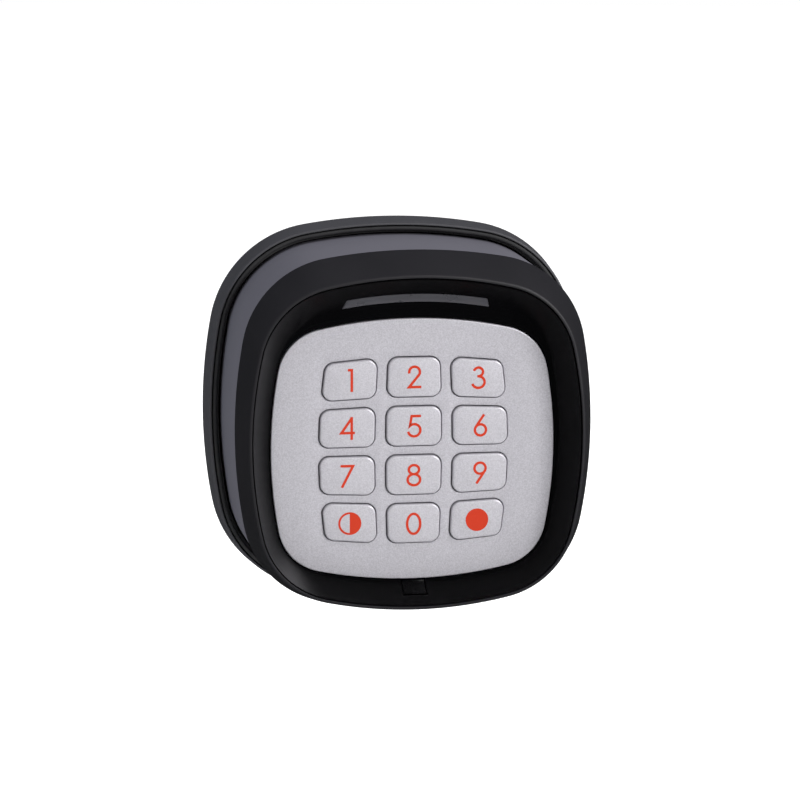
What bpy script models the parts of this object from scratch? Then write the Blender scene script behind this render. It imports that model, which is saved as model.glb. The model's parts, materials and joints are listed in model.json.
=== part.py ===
"""Battery-powered alarm keypad for a wall: a dished wall plate, a grey waist, a black bezel and
face ring, and a front module with twelve keys that swings out on its top hooks.

The origin is the centre of the wall plate's back. The front faces -Y and +Z is up. Lengths are in
millimetres here, "depth" is the distance out from the wall, and point() turns both into metres.
"""

import collections
import math

import bmesh
import bpy
from mathutils import Matrix, Vector

MM = 0.001
FIT = 0.3  # gap left between two pieces that touch on the real keypad
OVERSHOOT = 1.0  # how far a cutter runs past the face that it opens

# Wall plate: outline of its widest edge, then the dish
PLATE_HALF_WIDTH = 50.0
PLATE_HALF_HEIGHT = 50.2
PLATE_RADII = (131.0, 138.0, 29.9)  # side arc, top arc, corner
PLATE_CHAMFER = 0.6
PLATE_WIDEST_DEPTH = 1.5
PLATE_FLOOR = 2.4
RIM_DEPTH = 10.8
RIM_DRAFT = 1.1
RIM_ROUND = 0.3
RIM_LAND = 0.6
LEDGE_BELOW_RIM = 3.2
LEDGE_WIDTH = 1.6
WALL_SCREW_HOLE = 4.0
WALL_SCREW_SLOT = 9.0
WALL_SCREW_SPACING = 60.0

# Rubber seal between the plate's rim and the waist
SEAL_BEAD = 1.0
SEAL_ROUND = 0.3
SEAL_FOOT_HEIGHT = 1.2
SHADOW_GROOVE = 0.9

# Grey waist
WAIST_LENGTH = 29.0  # from the rim to the bezel's base
WAIST_DRAFT = 1.3
WAIST_WALL = 2.0
SHELL_FLOOR_DEPTH = 9.0
SHELL_FLOOR = 2.0
SHELL_OPENING_HALF = 25.0
SHELL_OPENING_RADII = (90.0, 90.0, 8.0)

# Black bezel and the dished face ring inside it
BEZEL_OVERHANG = 0.4
BEZEL_LENGTH = 7.2
BEZEL_TAPER_SIDE = 3.0
BEZEL_TAPER_TOP = 5.8
BEZEL_TAPER_BOTTOM = 0.9
CREASE_RADII = (103.0, 105.0, 21.8)
CREASE_ROUND = 0.4
CREASE_LAND = 0.3
LUG_WIDTH = 10.0
LUG_THICK = 1.2
LUG_LENGTH = 3.0
LUG_ROOT = 0.8
LUG_SIDE_Z = -5.0
RING_SIDE = 6.2
RING_TOP = 11.7
RING_BOTTOM = 5.9
RING_THICK = 1.9
DISH_DEPTH = 8.7
DISH_CURVE = 1.3  # above 1 the dish is steeper near the bezel
BEZEL_LEDGE_SHARE = 0.72  # how far across the ring the bezel stops, from the panel outwards

# Indicator window in the upper part of the ring
WINDOW_HALF_LENGTH = 18.4
WINDOW_SHARES = (0.40, 0.61)  # lower and upper edge across the ring
WINDOW_END_SLANT = 0.8
WINDOW_STEPS = 8
GUIDE_WIDTH = 12.0
GUIDE_THICK = 1.8
GUIDE_ROOT = 0.8  # how far the light guide runs into the lens
GUIDE_BEND = 1.0
GUIDE_PAST_LED = 0.4

# Front module: silver key panel, keys, rubber mat, board and rear cover
PANEL_RADII = (109.0, 112.5, 13.0)
PANEL_EDGE = 0.3
PANEL_THICK = 2.0
SKIRT_INSET = 1.0
SKIRT_WALL = 1.4
KEY_WIDTH = 13.9
KEY_HEIGHT = 9.9
KEY_CORNER = 2.4
KEY_PITCH_X = 16.98
KEY_PITCH_Z = 12.5
KEY_GRID_BELOW_PANEL_CENTRE = 0.15
KEY_BOW_X = 0.0192  # how much the columns lean in, per row squared
KEY_BOW_Z = 0.03  # how much the rows droop, per column squared
KEY_PROUD = 0.8
KEY_BEVEL = 0.3
KEY_FLANGE = 0.8
KEY_FLANGE_THICK = 0.8
KEY_TRAVEL = 0.8
MAT_SHEET = 0.8
MAT_PAD_RADIUS = 3.6
MAT_PAD_FLARE = 0.5
MAT_HOLLOW_RADIUS = 2.4
MAT_PAD_SKIN = 0.8
BOARD_THICK = 1.6
COMPONENT_ROOM = 5.1
COVER_FLOOR = 1.5
COVER_TAPER = 1.2

# Module screws, which hold the rear cover and the board to the panel
MODULE_SCREW_PLACES = ((-30.6, 14.0), (30.6, 14.0), (-30.6, -18.0), (30.6, -18.0))
MODULE_BOSS_RADIUS = 2.5
MODULE_SCREW_RADIUS = 1.0
MODULE_HEAD_RADIUS = 2.2
MODULE_HEAD_HEIGHT = 1.5
MODULE_SCREW_BITE = 4.0

# Shell screws, which hold the waist to the wall plate
SHELL_SCREW_PLACES = ((-31.0, 20.0), (31.0, 20.0), (-31.0, -30.0), (31.0, -30.0))
SHELL_BOSS_RADIUS = 3.5
SHELL_SCREW_RADIUS = 1.45
SHELL_HEAD_RADIUS = 2.8
SHELL_HEAD_HEIGHT = 2.2

# Bezel screws, up two deep posts of the waist
BEZEL_SCREW_X = 20.0
BEZEL_POST_RADIUS = 3.5
BEZEL_POST_IN_WALL = 0.5
BEZEL_BORE_RADIUS = 2.5
BEZEL_SEAT = 4.0  # material left under the screw's head
BEZEL_SCREW_RADIUS = 1.2
BEZEL_HEAD_RADIUS = 2.1
BEZEL_HEAD_HEIGHT = 1.8
BEZEL_SCREW_BITE = 3.0

# Hooks at the module's top, and its swing
HOOK_X = 14.0
HOOK_WIDTH = 7.0
HOOK_THICK = 1.2
HOOK_REACH = 3.0
HINGE_BEHIND_FACE = 0.3
HINGE_BELOW_EDGE = 0.4

# Release catch in the lower part of the ring
CATCH_WIDTH = 5.6
CATCH_SHARE = 0.58
CATCH_STEM_LENGTH = 5.0
CATCH_TRAVEL = 1.0

# Three AAA cells in a bay behind the rear cover
CELL_RADIUS = 5.25
CELL_LENGTH = 43.5
CELL_CHAMFER = 0.4
CELL_NUB_RADIUS = 1.9
CELL_NUB_LENGTH = 1.0
CELL_GAP = 1.0
CELL_COUNT = 3
BAY_Z = -11.4
BAY_WALL = 1.4
BAY_HEIGHT = 8.5
BAY_STEP = 0.5  # how much lower the long walls are than the end walls
CONTACT_ROOM = 4.0
CONTACT_THICK = 0.6
CONTACT_WIDTH = 8.0
SPRING_BASE_RADIUS = 3.2
SPRING_TIP_RADIUS = 1.6
BUTTON_RADIUS = 1.8

# On the board's back
TUBE_ABOVE_BAY = 0.95  # between the bay's upper wall and the plunger's guide tube
SWITCH_SIZE = 6.0
SWITCH_HEIGHT = 3.6
PLUNGER_RADIUS = 1.5
PLUNGER_LENGTH = 13.6
PLUNGER_TIP_RADIUS = 0.9
PLUNGER_TIP_ROUND = 0.75
PLUNGER_COLLAR_RADIUS = 2.6
PLUNGER_COLLAR = 1.2
PLUNGER_COLLAR_FROM_TIP = 4.0
PLUNGER_TRAVEL = 2.5
SPRING_WIRE = 0.45
TUBE_BORE = 3.0
TUBE_WALL = 1.0
POST_RADIUS = 3.0
SOUNDER_PLACE = (-17.0, 13.0)
SOUNDER_RADIUS = 6.0
SOUNDER_HEIGHT = 4.0
CHIP_PLACE = (-9.0, -10.0)
CHIP_SIZE = 7.0
CHIP_HEIGHT = 1.2
RADIO_PLACE = (17.0, 10.5)
RADIO_WIDTH = 14.0
RADIO_DEEP = 10.0
RADIO_HEIGHT = 2.0
AERIAL_RADIUS = 2.0
AERIAL_LENGTH = 12.0
LED_COUNT = 3
LED_PITCH = 4.0
LED_WIDTH = 2.0
LED_DEEP = 1.4
LED_HEIGHT = 1.2

CORNER_STEPS = 7
ARC_STEPS = 2
KEY_CORNER_STEPS = 3
ROUND_SIDES = 16
SMALL_SIDES = 12

KEY_NAMES = (
    ("key_1", "key_2", "key_3"),
    ("key_4", "key_5", "key_6"),
    ("key_7", "key_8", "key_9"),
    ("key_part_arm", "key_0", "key_full_arm"),
)

COLOURS = {
    "plate_black": ((0.050, 0.050, 0.056), 0.55, 0.0),
    "seal_rubber": ((0.020, 0.020, 0.022), 0.80, 0.0),
    "waist_grey": ((0.160, 0.155, 0.190), 0.45, 0.0),
    "bezel_black": ((0.022, 0.021, 0.024), 0.50, 0.0),
    "gloss_black": ((0.005, 0.005, 0.006), 0.10, 0.0),
    "smoked_lens": ((0.070, 0.070, 0.080), 0.25, 0.0),
    "silver_paint": ((0.480, 0.470, 0.520), 0.38, 0.6),
    "mat_rubber": ((0.300, 0.300, 0.310), 0.75, 0.0),
    "board_green": ((0.020, 0.120, 0.050), 0.45, 0.0),
    "cover_black": ((0.030, 0.030, 0.034), 0.60, 0.0),
    "chip_black": ((0.012, 0.012, 0.013), 0.45, 0.0),
    "screw_steel": ((0.550, 0.550, 0.560), 0.30, 1.0),
    "spring_steel": ((0.620, 0.610, 0.590), 0.28, 1.0),
    "cell_jacket": ((0.060, 0.160, 0.300), 0.35, 0.2),
    "white_plastic": ((0.700, 0.700, 0.680), 0.45, 0.0),
    "copper": ((0.720, 0.350, 0.180), 0.30, 1.0),
}


def clear_scene():
    for obj in list(bpy.data.objects):
        bpy.data.objects.remove(obj, do_unlink=True)


def point(x, depth, z):
    return Vector((x, -depth, z)) * MM


class Outline(collections.namedtuple("Outline", "half_w half_h side_r top_r corner_r centre_z")):
    """A rounded square of eight arcs: two long ones, top and bottom, two at the sides, four corners."""

    def inset(self, by):
        return Outline(
            self.half_w - by,
            self.half_h - by,
            self.side_r - by,
            self.top_r - by,
            self.corner_r - by,
            self.centre_z,
        )

    def blend(self, other, share):
        return Outline(*(a + (b - a) * share for a, b in zip(self, other)))

    def tapered(self, side, top, bottom, radii):
        half_h = self.half_h - (top + bottom) / 2
        return Outline(self.half_w - side, half_h, *radii, self.centre_z - (top - bottom) / 2)

    def quarter(self):
        """Points from the middle of the right side to just before the middle of the top."""
        side_x = self.half_w - self.side_r
        top_z = self.half_h - self.top_r
        from_side = self.side_r - self.corner_r
        from_top = self.top_r - self.corner_r
        apart = math.hypot(side_x, top_z)
        along = (from_side**2 - from_top**2 + apart**2) / (2 * apart)
        across = math.sqrt(from_side**2 - along**2)
        ux = -side_x / apart
        uz = top_z / apart
        corner_x = side_x + along * ux - across * uz
        corner_z = along * uz + across * ux
        first = math.atan2(corner_z, corner_x - side_x)
        last = math.atan2(corner_z - top_z, corner_x)
        arcs = (
            (side_x, 0.0, self.side_r, 0.0, first, ARC_STEPS),
            (corner_x, corner_z, self.corner_r, first, last, CORNER_STEPS),
            (0.0, top_z, self.top_r, last, math.pi / 2, ARC_STEPS),
        )
        found = []
        for x, z, radius, start, end, steps in arcs:
            for step in range(steps):
                angle = start + (end - start) * step / steps
                found.append((x + radius * math.cos(angle), z + radius * math.sin(angle)))
        return found

    def points(self):
        right_top = self.quarter()
        left_top = [(-x, z) for x, z in reversed(right_top[1:])]
        top = [(0.0, self.half_h)]
        half = right_top + top + left_top
        whole = half + [(-self.half_w, 0.0)] + [(x, -z) for x, z in reversed(half[1:])]
        return [(x, z + self.centre_z) for x, z in whole]

    def top_at(self, x):
        """Height of the upper edge at this distance from the middle, on its long arc."""
        return self.centre_z + self.half_h - self.top_r + math.sqrt(self.top_r**2 - x**2)

    def side_at(self, z):
        """Half width at this height, on the side's long arc."""
        return self.half_w - self.side_r + math.sqrt(self.side_r**2 - (z - self.centre_z) ** 2)


# Outlines, each taken from the piece that it meets
PLATE = Outline(PLATE_HALF_WIDTH, PLATE_HALF_HEIGHT, *PLATE_RADII, 0.0)
RIM_OUTER = PLATE.inset(RIM_DRAFT)
RIM_INNER = RIM_OUTER.inset(RIM_LAND)
LEDGE_INNER = RIM_INNER.inset(LEDGE_WIDTH)
SEAL_OUTER = RIM_INNER.inset(FIT)
SEAL_INNER = SEAL_OUTER.inset(SEAL_BEAD)
WAIST_REAR = SEAL_INNER.inset(SHADOW_GROOVE)
WAIST_FRONT = WAIST_REAR.inset(WAIST_DRAFT)
BEZEL_BASE = WAIST_FRONT.inset(-BEZEL_OVERHANG)
CREASE = BEZEL_BASE.tapered(BEZEL_TAPER_SIDE, BEZEL_TAPER_TOP, BEZEL_TAPER_BOTTOM, CREASE_RADII)
BEZEL_INNER = CREASE.inset(CREASE_ROUND + CREASE_LAND)
RING_OUTER = BEZEL_INNER.inset(FIT)
PANEL = CREASE.tapered(RING_SIDE, RING_TOP, RING_BOTTOM, PANEL_RADII)
RING_INNER = PANEL.inset(-FIT)
SKIRT_OUTER = PANEL.inset(SKIRT_INSET)
SKIRT_INNER = SKIRT_OUTER.inset(SKIRT_WALL)
INSIDE_SKIRT = SKIRT_INNER.inset(FIT)

# Depths from the wall
LEDGE_DEPTH = RIM_DEPTH - LEDGE_BELOW_RIM
SHELL_REAR = PLATE_FLOOR + FIT
SHELL_FLOOR_FRONT = SHELL_FLOOR_DEPTH + SHELL_FLOOR
BEZEL_REAR = RIM_DEPTH + WAIST_LENGTH
SHELL_FRONT = BEZEL_REAR - FIT
CREASE_DEPTH = BEZEL_REAR + BEZEL_LENGTH
RING_DEPTH = CREASE_DEPTH - FIT
PANEL_FACE = CREASE_DEPTH - DISH_DEPTH
PANEL_BACK = PANEL_FACE - PANEL_THICK
KEY_FLANGE_FRONT = PANEL_BACK - FIT
KEY_BACK = KEY_FLANGE_FRONT - KEY_FLANGE_THICK
PAD_FRONT = KEY_BACK - FIT
SHEET_FRONT = PAD_FRONT - KEY_TRAVEL - FIT * 2
SHEET_BACK = SHEET_FRONT - MAT_SHEET
BOARD_FRONT = SHEET_BACK - FIT
BOARD_BACK = BOARD_FRONT - BOARD_THICK
SKIRT_END = BOARD_BACK - FIT
COVER_FRONT = SKIRT_END - FIT
COVER_FLOOR_FRONT = BOARD_BACK - COMPONENT_ROOM
COVER_REAR = COVER_FLOOR_FRONT - COVER_FLOOR
CELL_DEPTH = COVER_REAR - FIT - CELL_RADIUS
BAY_REAR = COVER_REAR - BAY_HEIGHT
BAY_HALF_X = (CELL_LENGTH + CELL_NUB_LENGTH) / 2 + CONTACT_ROOM
BAY_HALF_Z = CELL_COUNT * CELL_RADIUS + (CELL_COUNT - 1) * CELL_GAP / 2 + FIT
TAMPER_Z = BAY_Z + BAY_HALF_Z + BAY_WALL + TUBE_ABOVE_BAY + TUBE_WALL + TUBE_BORE
COMPONENT_FRONT = BOARD_BACK - FIT
PLUNGER_FRONT = COMPONENT_FRONT - SWITCH_HEIGHT - FIT
PLUNGER_TIP = PLUNGER_FRONT - PLUNGER_LENGTH
TUBE_END = PLUNGER_TIP + PLUNGER_COLLAR_FROM_TIP - PLUNGER_TRAVEL
HINGE_DEPTH = PANEL_FACE - HINGE_BEHIND_FACE
HINGE_Z = PANEL.centre_z + PANEL.half_h - HINGE_BELOW_EDGE


def dish_outline(share):
    """Outline of the ring's face: 0 is beside the panel, 1 beside the bezel."""
    return RING_INNER.blend(RING_OUTER, share)


def dish_depth(share):
    return PANEL_FACE + (RING_DEPTH - PANEL_FACE) * share**DISH_CURVE


# ------------------------------------------------------------------ building blocks


def material(name):
    found = bpy.data.materials.get(name)
    if found:
        return found
    colour, roughness, metallic = COLOURS[name]
    made = bpy.data.materials.new(name)
    made.use_nodes = True
    shader = made.node_tree.nodes["Principled BSDF"]
    shader.inputs["Base Color"].default_value = (*colour, 1.0)
    shader.inputs["Roughness"].default_value = roughness
    shader.inputs["Metallic"].default_value = metallic
    made.diffuse_color = (*colour, 1.0)
    return made


def finish(mesh, name, finish_name, origin=None, parent=None):
    """An object from a bmesh in world metres, its origin moved to the given point."""
    bmesh.ops.recalc_face_normals(mesh, faces=mesh.faces)
    origin = origin or Vector()
    bmesh.ops.translate(mesh, verts=mesh.verts, vec=-origin)
    data = bpy.data.meshes.new(name)
    mesh.to_mesh(data)
    mesh.free()
    data.shade_smooth()
    data.set_sharp_from_angle(angle=math.radians(30))
    obj = bpy.data.objects.new(name, data)
    obj.location = origin
    bpy.context.scene.collection.objects.link(obj)
    if finish_name:
        data.materials.append(material(finish_name))
    if parent:
        obj.parent = parent
        obj.location = origin - parent.location
    return obj


def empty(name, place):
    obj = bpy.data.objects.new(name, None)
    obj.location = place
    bpy.context.scene.collection.objects.link(obj)
    return obj


def loops_of(mesh, sections):
    """One loop of vertices for each (list of x and z, depth)."""
    return [[mesh.verts.new(point(x, depth, z)) for x, z in flat] for flat, depth in sections]


def bridge(mesh, first, second):
    count = len(first)
    for i in range(count):
        after = (i + 1) % count
        mesh.faces.new((first[i], first[after], second[after], second[i]))


def add_ring(mesh, sections):
    """A closed ring whose cross-section goes round the given (outline, depth) pairs."""
    loops = loops_of(mesh, [(outline.points(), depth) for outline, depth in sections])
    for i, loop in enumerate(loops):
        bridge(mesh, loop, loops[(i + 1) % len(loops)])


def add_stack(mesh, sections):
    """A solid through flat loops of points, with a cap on the first and the last."""
    loops = loops_of(mesh, sections)
    for first, second in zip(loops, loops[1:]):
        bridge(mesh, first, second)
    mesh.faces.new(loops[0])
    mesh.faces.new(loops[-1])


def add_shell(mesh, sections):
    add_stack(mesh, [(outline.points(), depth) for outline, depth in sections])


def circle(x, z, radius, sides=ROUND_SIDES):
    turn = 2 * math.pi / sides
    return [(x + radius * math.cos(turn * i), z + radius * math.sin(turn * i)) for i in range(sides)]


def add_round(mesh, x, z, steps, sides=ROUND_SIDES):
    """A turned piece on an axis along the depth, from its (radius, depth) steps."""
    add_stack(mesh, [(circle(x, z, radius, sides), depth) for radius, depth in steps])


def add_box(mesh, low, high):
    """A box between two (x, depth, z) corners."""
    made = bmesh.ops.create_cube(mesh, size=1.0)["verts"]
    size = [b - a for a, b in zip(low, high)]
    middle = [(a + b) / 2 for a, b in zip(low, high)]
    scale = Matrix.Diagonal(Vector(size) * MM).to_4x4()
    bmesh.ops.transform(mesh, matrix=Matrix.Translation(point(*middle)) @ scale, verts=made)


def add_prism(mesh, profile, low_x, high_x):
    """A (z, depth) profile drawn out along X."""
    ends = [[mesh.verts.new(point(x, depth, z)) for z, depth in profile] for x in (low_x, high_x)]
    bridge(mesh, *ends)
    for end in ends:
        mesh.faces.new(end)


def add_cylinder_x(mesh, steps, depth, z, sides=ROUND_SIDES):
    """A turned piece on an axis along X, from its (radius, x) steps."""
    loops = []
    for radius, x in steps:
        turned = circle(z, depth, radius, sides)
        loops.append([mesh.verts.new(point(x, down, up)) for up, down in turned])
    for first, second in zip(loops, loops[1:]):
        bridge(mesh, first, second)
    mesh.faces.new(loops[0])
    mesh.faces.new(loops[-1])


def boolean(obj, tool, operation):
    modifier = obj.modifiers.new(tool.name, "BOOLEAN")
    modifier.operation = operation
    modifier.object = tool


def helper(mesh, name):
    tool = finish(mesh, name, None)
    tool.hide_render = True
    tool.display_type = "WIRE"
    return tool


def cut(obj, mesh, name):
    boolean(obj, helper(mesh, name), "DIFFERENCE")


def join(obj, mesh, name):
    boolean(obj, helper(mesh, name), "UNION")


# ------------------------------------------------------------------ fixed housing


def build_wall_plate():
    mesh = bmesh.new()
    sections = (
        (PLATE.inset(PLATE_CHAMFER), 0.0),
        (PLATE, PLATE_WIDEST_DEPTH),
        (RIM_OUTER, RIM_DEPTH - RIM_ROUND),
        (RIM_OUTER.inset(RIM_ROUND), RIM_DEPTH),
        (RIM_INNER, RIM_DEPTH),
        (RIM_INNER, LEDGE_DEPTH),
        (LEDGE_INNER, LEDGE_DEPTH),
        (LEDGE_INNER, PLATE_FLOOR),
    )
    add_shell(mesh, sections)
    plate = finish(mesh, "wall_plate", "plate_black")

    bosses = bmesh.new()
    top = SHELL_FLOOR_DEPTH - FIT
    root = PLATE_FLOOR / 2
    for x, z in SHELL_SCREW_PLACES:
        add_round(bosses, x, z, ((SHELL_BOSS_RADIUS, root), (SHELL_BOSS_RADIUS, top)))
    add_round(bosses, 0.0, TAMPER_Z, ((POST_RADIUS, root), (POST_RADIUS, PLUNGER_TIP - FIT)))
    join(plate, bosses, "wall_plate_bosses")

    holes = bmesh.new()
    pilot = SHELL_SCREW_RADIUS + FIT
    for x, z in SHELL_SCREW_PLACES:
        add_round(holes, x, z, ((pilot, PLATE_FLOOR), (pilot, top + OVERSHOOT)), SMALL_SIDES)
    for z, turned in ((WALL_SCREW_SPACING / 2, False), (-WALL_SCREW_SPACING / 2, True)):
        flat = slot(z, turned)
        add_stack(holes, [(flat, -OVERSHOOT), (flat, PLATE_FLOOR + OVERSHOOT)])
    cut(plate, holes, "wall_plate_holes")
    return plate


def slot(z, turned):
    """A round-ended wall-screw slot, upright when turned."""
    radius = WALL_SCREW_HOLE / 2
    half = WALL_SCREW_SLOT / 2 - radius
    steps = SMALL_SIDES // 2
    found = []
    for side, start in ((1, -math.pi / 2), (-1, math.pi / 2)):
        for step in range(steps + 1):
            angle = start + math.pi * step / steps
            found.append((side * half + radius * math.cos(angle), radius * math.sin(angle)))
    if turned:
        return [(-b, a + z) for a, b in found]
    return [(a, b + z) for a, b in found]


def build_seal():
    foot_inner = WAIST_REAR.inset(-FIT)
    base = LEDGE_DEPTH + FIT
    mesh = bmesh.new()
    sections = (
        (SEAL_OUTER, base),
        (SEAL_OUTER, RIM_DEPTH - SEAL_ROUND),
        (SEAL_OUTER.inset(SEAL_ROUND), RIM_DEPTH),
        (SEAL_INNER.inset(-SEAL_ROUND), RIM_DEPTH),
        (SEAL_INNER, RIM_DEPTH - SEAL_ROUND),
        (SEAL_INNER, base + SEAL_FOOT_HEIGHT),
        (foot_inner, base + SEAL_FOOT_HEIGHT),
        (foot_inner, base),
    )
    add_ring(mesh, sections)
    return finish(mesh, "plate_seal", "seal_rubber")


def waist_at(depth):
    return WAIST_REAR.blend(WAIST_FRONT, (depth - SHELL_REAR) / (SHELL_FRONT - SHELL_REAR))


def bezel_post_z():
    wall = WAIST_FRONT.inset(WAIST_WALL)
    return wall.top_at(BEZEL_SCREW_X) - BEZEL_POST_RADIUS + BEZEL_POST_IN_WALL


def build_body_shell():
    opening = Outline(SHELL_OPENING_HALF, SHELL_OPENING_HALF, *SHELL_OPENING_RADII, 0.0)
    mesh = bmesh.new()
    sections = (
        (WAIST_REAR, SHELL_REAR),
        (WAIST_FRONT, SHELL_FRONT),
        (WAIST_FRONT.inset(WAIST_WALL), SHELL_FRONT),
        (waist_at(SHELL_FLOOR_FRONT).inset(WAIST_WALL), SHELL_FLOOR_FRONT),
        (opening, SHELL_FLOOR_FRONT),
        (opening, SHELL_FLOOR_DEPTH),
        (waist_at(SHELL_FLOOR_DEPTH).inset(WAIST_WALL), SHELL_FLOOR_DEPTH),
        (WAIST_REAR.inset(WAIST_WALL), SHELL_REAR),
    )
    add_ring(mesh, sections)
    shell = finish(mesh, "body_shell", "waist_grey")

    post_z = bezel_post_z()
    middle = SHELL_FLOOR_DEPTH + SHELL_FLOOR / 2
    seat = SHELL_FRONT - BEZEL_SEAT
    posts = bmesh.new()
    bores = bmesh.new()
    for x in (-BEZEL_SCREW_X, BEZEL_SCREW_X):
        add_round(posts, x, post_z, ((BEZEL_POST_RADIUS, middle), (BEZEL_POST_RADIUS, SHELL_FRONT)))
        shank = BEZEL_SCREW_RADIUS + FIT
        steps = (
            (BEZEL_BORE_RADIUS, SHELL_FLOOR_DEPTH - OVERSHOOT),
            (BEZEL_BORE_RADIUS, seat),
            (shank, seat),
            (shank, SHELL_FRONT + OVERSHOOT),
        )
        add_round(bores, x, post_z, steps)
    shank = SHELL_SCREW_RADIUS + FIT
    steps = ((shank, SHELL_FLOOR_DEPTH - OVERSHOOT), (shank, SHELL_FLOOR_FRONT + OVERSHOOT))
    for x, z in SHELL_SCREW_PLACES:
        add_round(bores, x, z, steps, SMALL_SIDES)
    join(shell, posts, "body_shell_posts")
    cut(shell, bores, "body_shell_bores")
    return shell


def build_bezel():
    share = BEZEL_LEDGE_SHARE
    behind_ring = RING_THICK + FIT
    mesh = bmesh.new()
    sections = (
        (BEZEL_BASE, BEZEL_REAR),
        (CREASE, CREASE_DEPTH - CREASE_ROUND),
        (CREASE.inset(CREASE_ROUND), CREASE_DEPTH),
        (BEZEL_INNER, CREASE_DEPTH),
        (BEZEL_INNER, dish_depth(1.0) - behind_ring),
        (dish_outline((1 + share) / 2), dish_depth((1 + share) / 2) - behind_ring),
        (dish_outline(share), dish_depth(share) - behind_ring),
        (dish_outline(share), BEZEL_REAR),
    )
    add_ring(mesh, sections)
    bezel = finish(mesh, "bezel", "bezel_black")

    lugs = bmesh.new()
    wall = WAIST_FRONT.inset(WAIST_WALL + FIT)
    rear = BEZEL_REAR - LUG_LENGTH
    front = BEZEL_REAR + LUG_ROOT
    half = LUG_WIDTH / 2
    side_x = wall.side_at(abs(LUG_SIDE_Z) + half)
    for side in (-1, 1):
        edges = sorted((side * side_x, side * (side_x - LUG_THICK)))
        add_box(lugs, (edges[0], rear, LUG_SIDE_Z - half), (edges[1], front, LUG_SIDE_Z + half))
    join(bezel, lugs, "bezel_lugs")

    holes = bmesh.new()
    radius = BEZEL_SCREW_RADIUS + FIT
    end = BEZEL_REAR + BEZEL_SCREW_BITE + FIT
    for x in (-BEZEL_SCREW_X, BEZEL_SCREW_X):
        steps = ((radius, BEZEL_REAR - OVERSHOOT), (radius, end))
        add_round(holes, x, bezel_post_z(), steps, SMALL_SIDES)
    cut(bezel, holes, "bezel_holes")
    return bezel


def add_window(mesh, margin, front, back):
    """The arc-shaped block of the indicator window, grown by a margin on its four sides."""
    low, high = WINDOW_SHARES
    edges = ((low, -margin, 0.0), (high, margin, WINDOW_END_SLANT))
    columns = []
    for i in range(WINDOW_STEPS + 1):
        across = 2 * i / WINDOW_STEPS - 1
        fronts = []
        backs = []
        for share, grow, slant in edges:
            x = across * (WINDOW_HALF_LENGTH + margin - slant)
            z = dish_outline(share).top_at(x) + grow
            fronts.append(point(x, dish_depth(share) + front, z))
            backs.append(point(x, dish_depth(share) - back, z))
        columns.append([mesh.verts.new(corner) for corner in (*fronts, *reversed(backs))])
    for first, second in zip(columns, columns[1:]):
        bridge(mesh, first, second)
    mesh.faces.new(columns[0])
    mesh.faces.new(columns[-1])


def build_face_ring():
    shares = (1.0, 0.75, 0.5, 0.25, 0.0)
    mesh = bmesh.new()
    front = [(dish_outline(share), dish_depth(share)) for share in shares]
    back = [(outline, depth - RING_THICK) for outline, depth in reversed(front)]
    add_ring(mesh, front + back)
    ring = finish(mesh, "face_ring", "gloss_black")
    holes = bmesh.new()
    add_window(holes, FIT, 2 * OVERSHOOT, RING_THICK + 2 * OVERSHOOT)
    half = CATCH_WIDTH / 2 + FIT
    lower = catch_bottom() - FIT
    upper = RING_INNER.centre_z - RING_INNER.half_h + OVERSHOOT
    behind = PANEL_FACE - RING_THICK - OVERSHOOT
    add_box(holes, (-half, behind, lower), (half, CREASE_DEPTH + OVERSHOOT, upper))
    cut(ring, holes, "face_ring_holes")
    return ring


def build_indicator_lens():
    mesh = bmesh.new()
    add_window(mesh, 0.0, 0.0, RING_THICK)
    lens = finish(mesh, "indicator_lens", "smoked_lens")
    low, high = WINDOW_SHARES
    middle = (low + high) / 2
    z = dish_outline(middle).top_at(GUIDE_WIDTH / 2)
    depth = dish_depth(middle) - RING_THICK
    led_top = SKIRT_OUTER.centre_z + SKIRT_OUTER.half_h + FIT
    led_depth = COMPONENT_FRONT - LED_HEIGHT
    elbow = z - GUIDE_THICK
    bend = PANEL_BACK - FIT - GUIDE_BEND
    profile = (
        (z + GUIDE_THICK / 2, depth + GUIDE_ROOT),
        (z - GUIDE_THICK / 2, depth + GUIDE_ROOT),
        (elbow, bend),
        (elbow - GUIDE_THICK, COMPONENT_FRONT),
        (led_top, COMPONENT_FRONT),
        (led_top, led_depth - GUIDE_PAST_LED),
        (elbow, led_depth - GUIDE_PAST_LED),
        (z + GUIDE_THICK / 2, bend - GUIDE_BEND),
    )
    guide = bmesh.new()
    add_prism(guide, profile, -GUIDE_WIDTH / 2, GUIDE_WIDTH / 2)
    join(lens, guide, "light_guide")
    return lens


def build_shell_screws():
    for number, (x, z) in enumerate(SHELL_SCREW_PLACES, 1):
        under_head = SHELL_FLOOR_FRONT + FIT
        steps = (
            (SHELL_SCREW_RADIUS, PLATE_FLOOR + FIT),
            (SHELL_SCREW_RADIUS, under_head),
            (SHELL_HEAD_RADIUS, under_head),
            (SHELL_HEAD_RADIUS, under_head + SHELL_HEAD_HEIGHT),
        )
        mesh = bmesh.new()
        add_round(mesh, x, z, steps, SMALL_SIDES)
        finish(mesh, f"shell_screw_{number}", "screw_steel")


def build_bezel_screws():
    for number, x in enumerate((-BEZEL_SCREW_X, BEZEL_SCREW_X), 1):
        under_head = SHELL_FRONT - BEZEL_SEAT - FIT
        steps = (
            (BEZEL_HEAD_RADIUS, under_head - BEZEL_HEAD_HEIGHT),
            (BEZEL_HEAD_RADIUS, under_head),
            (BEZEL_SCREW_RADIUS, under_head),
            (BEZEL_SCREW_RADIUS, BEZEL_REAR + BEZEL_SCREW_BITE),
        )
        mesh = bmesh.new()
        add_round(mesh, x, bezel_post_z(), steps, SMALL_SIDES)
        finish(mesh, f"bezel_screw_{number}", "screw_steel")


# ------------------------------------------------------------------ front module


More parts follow.
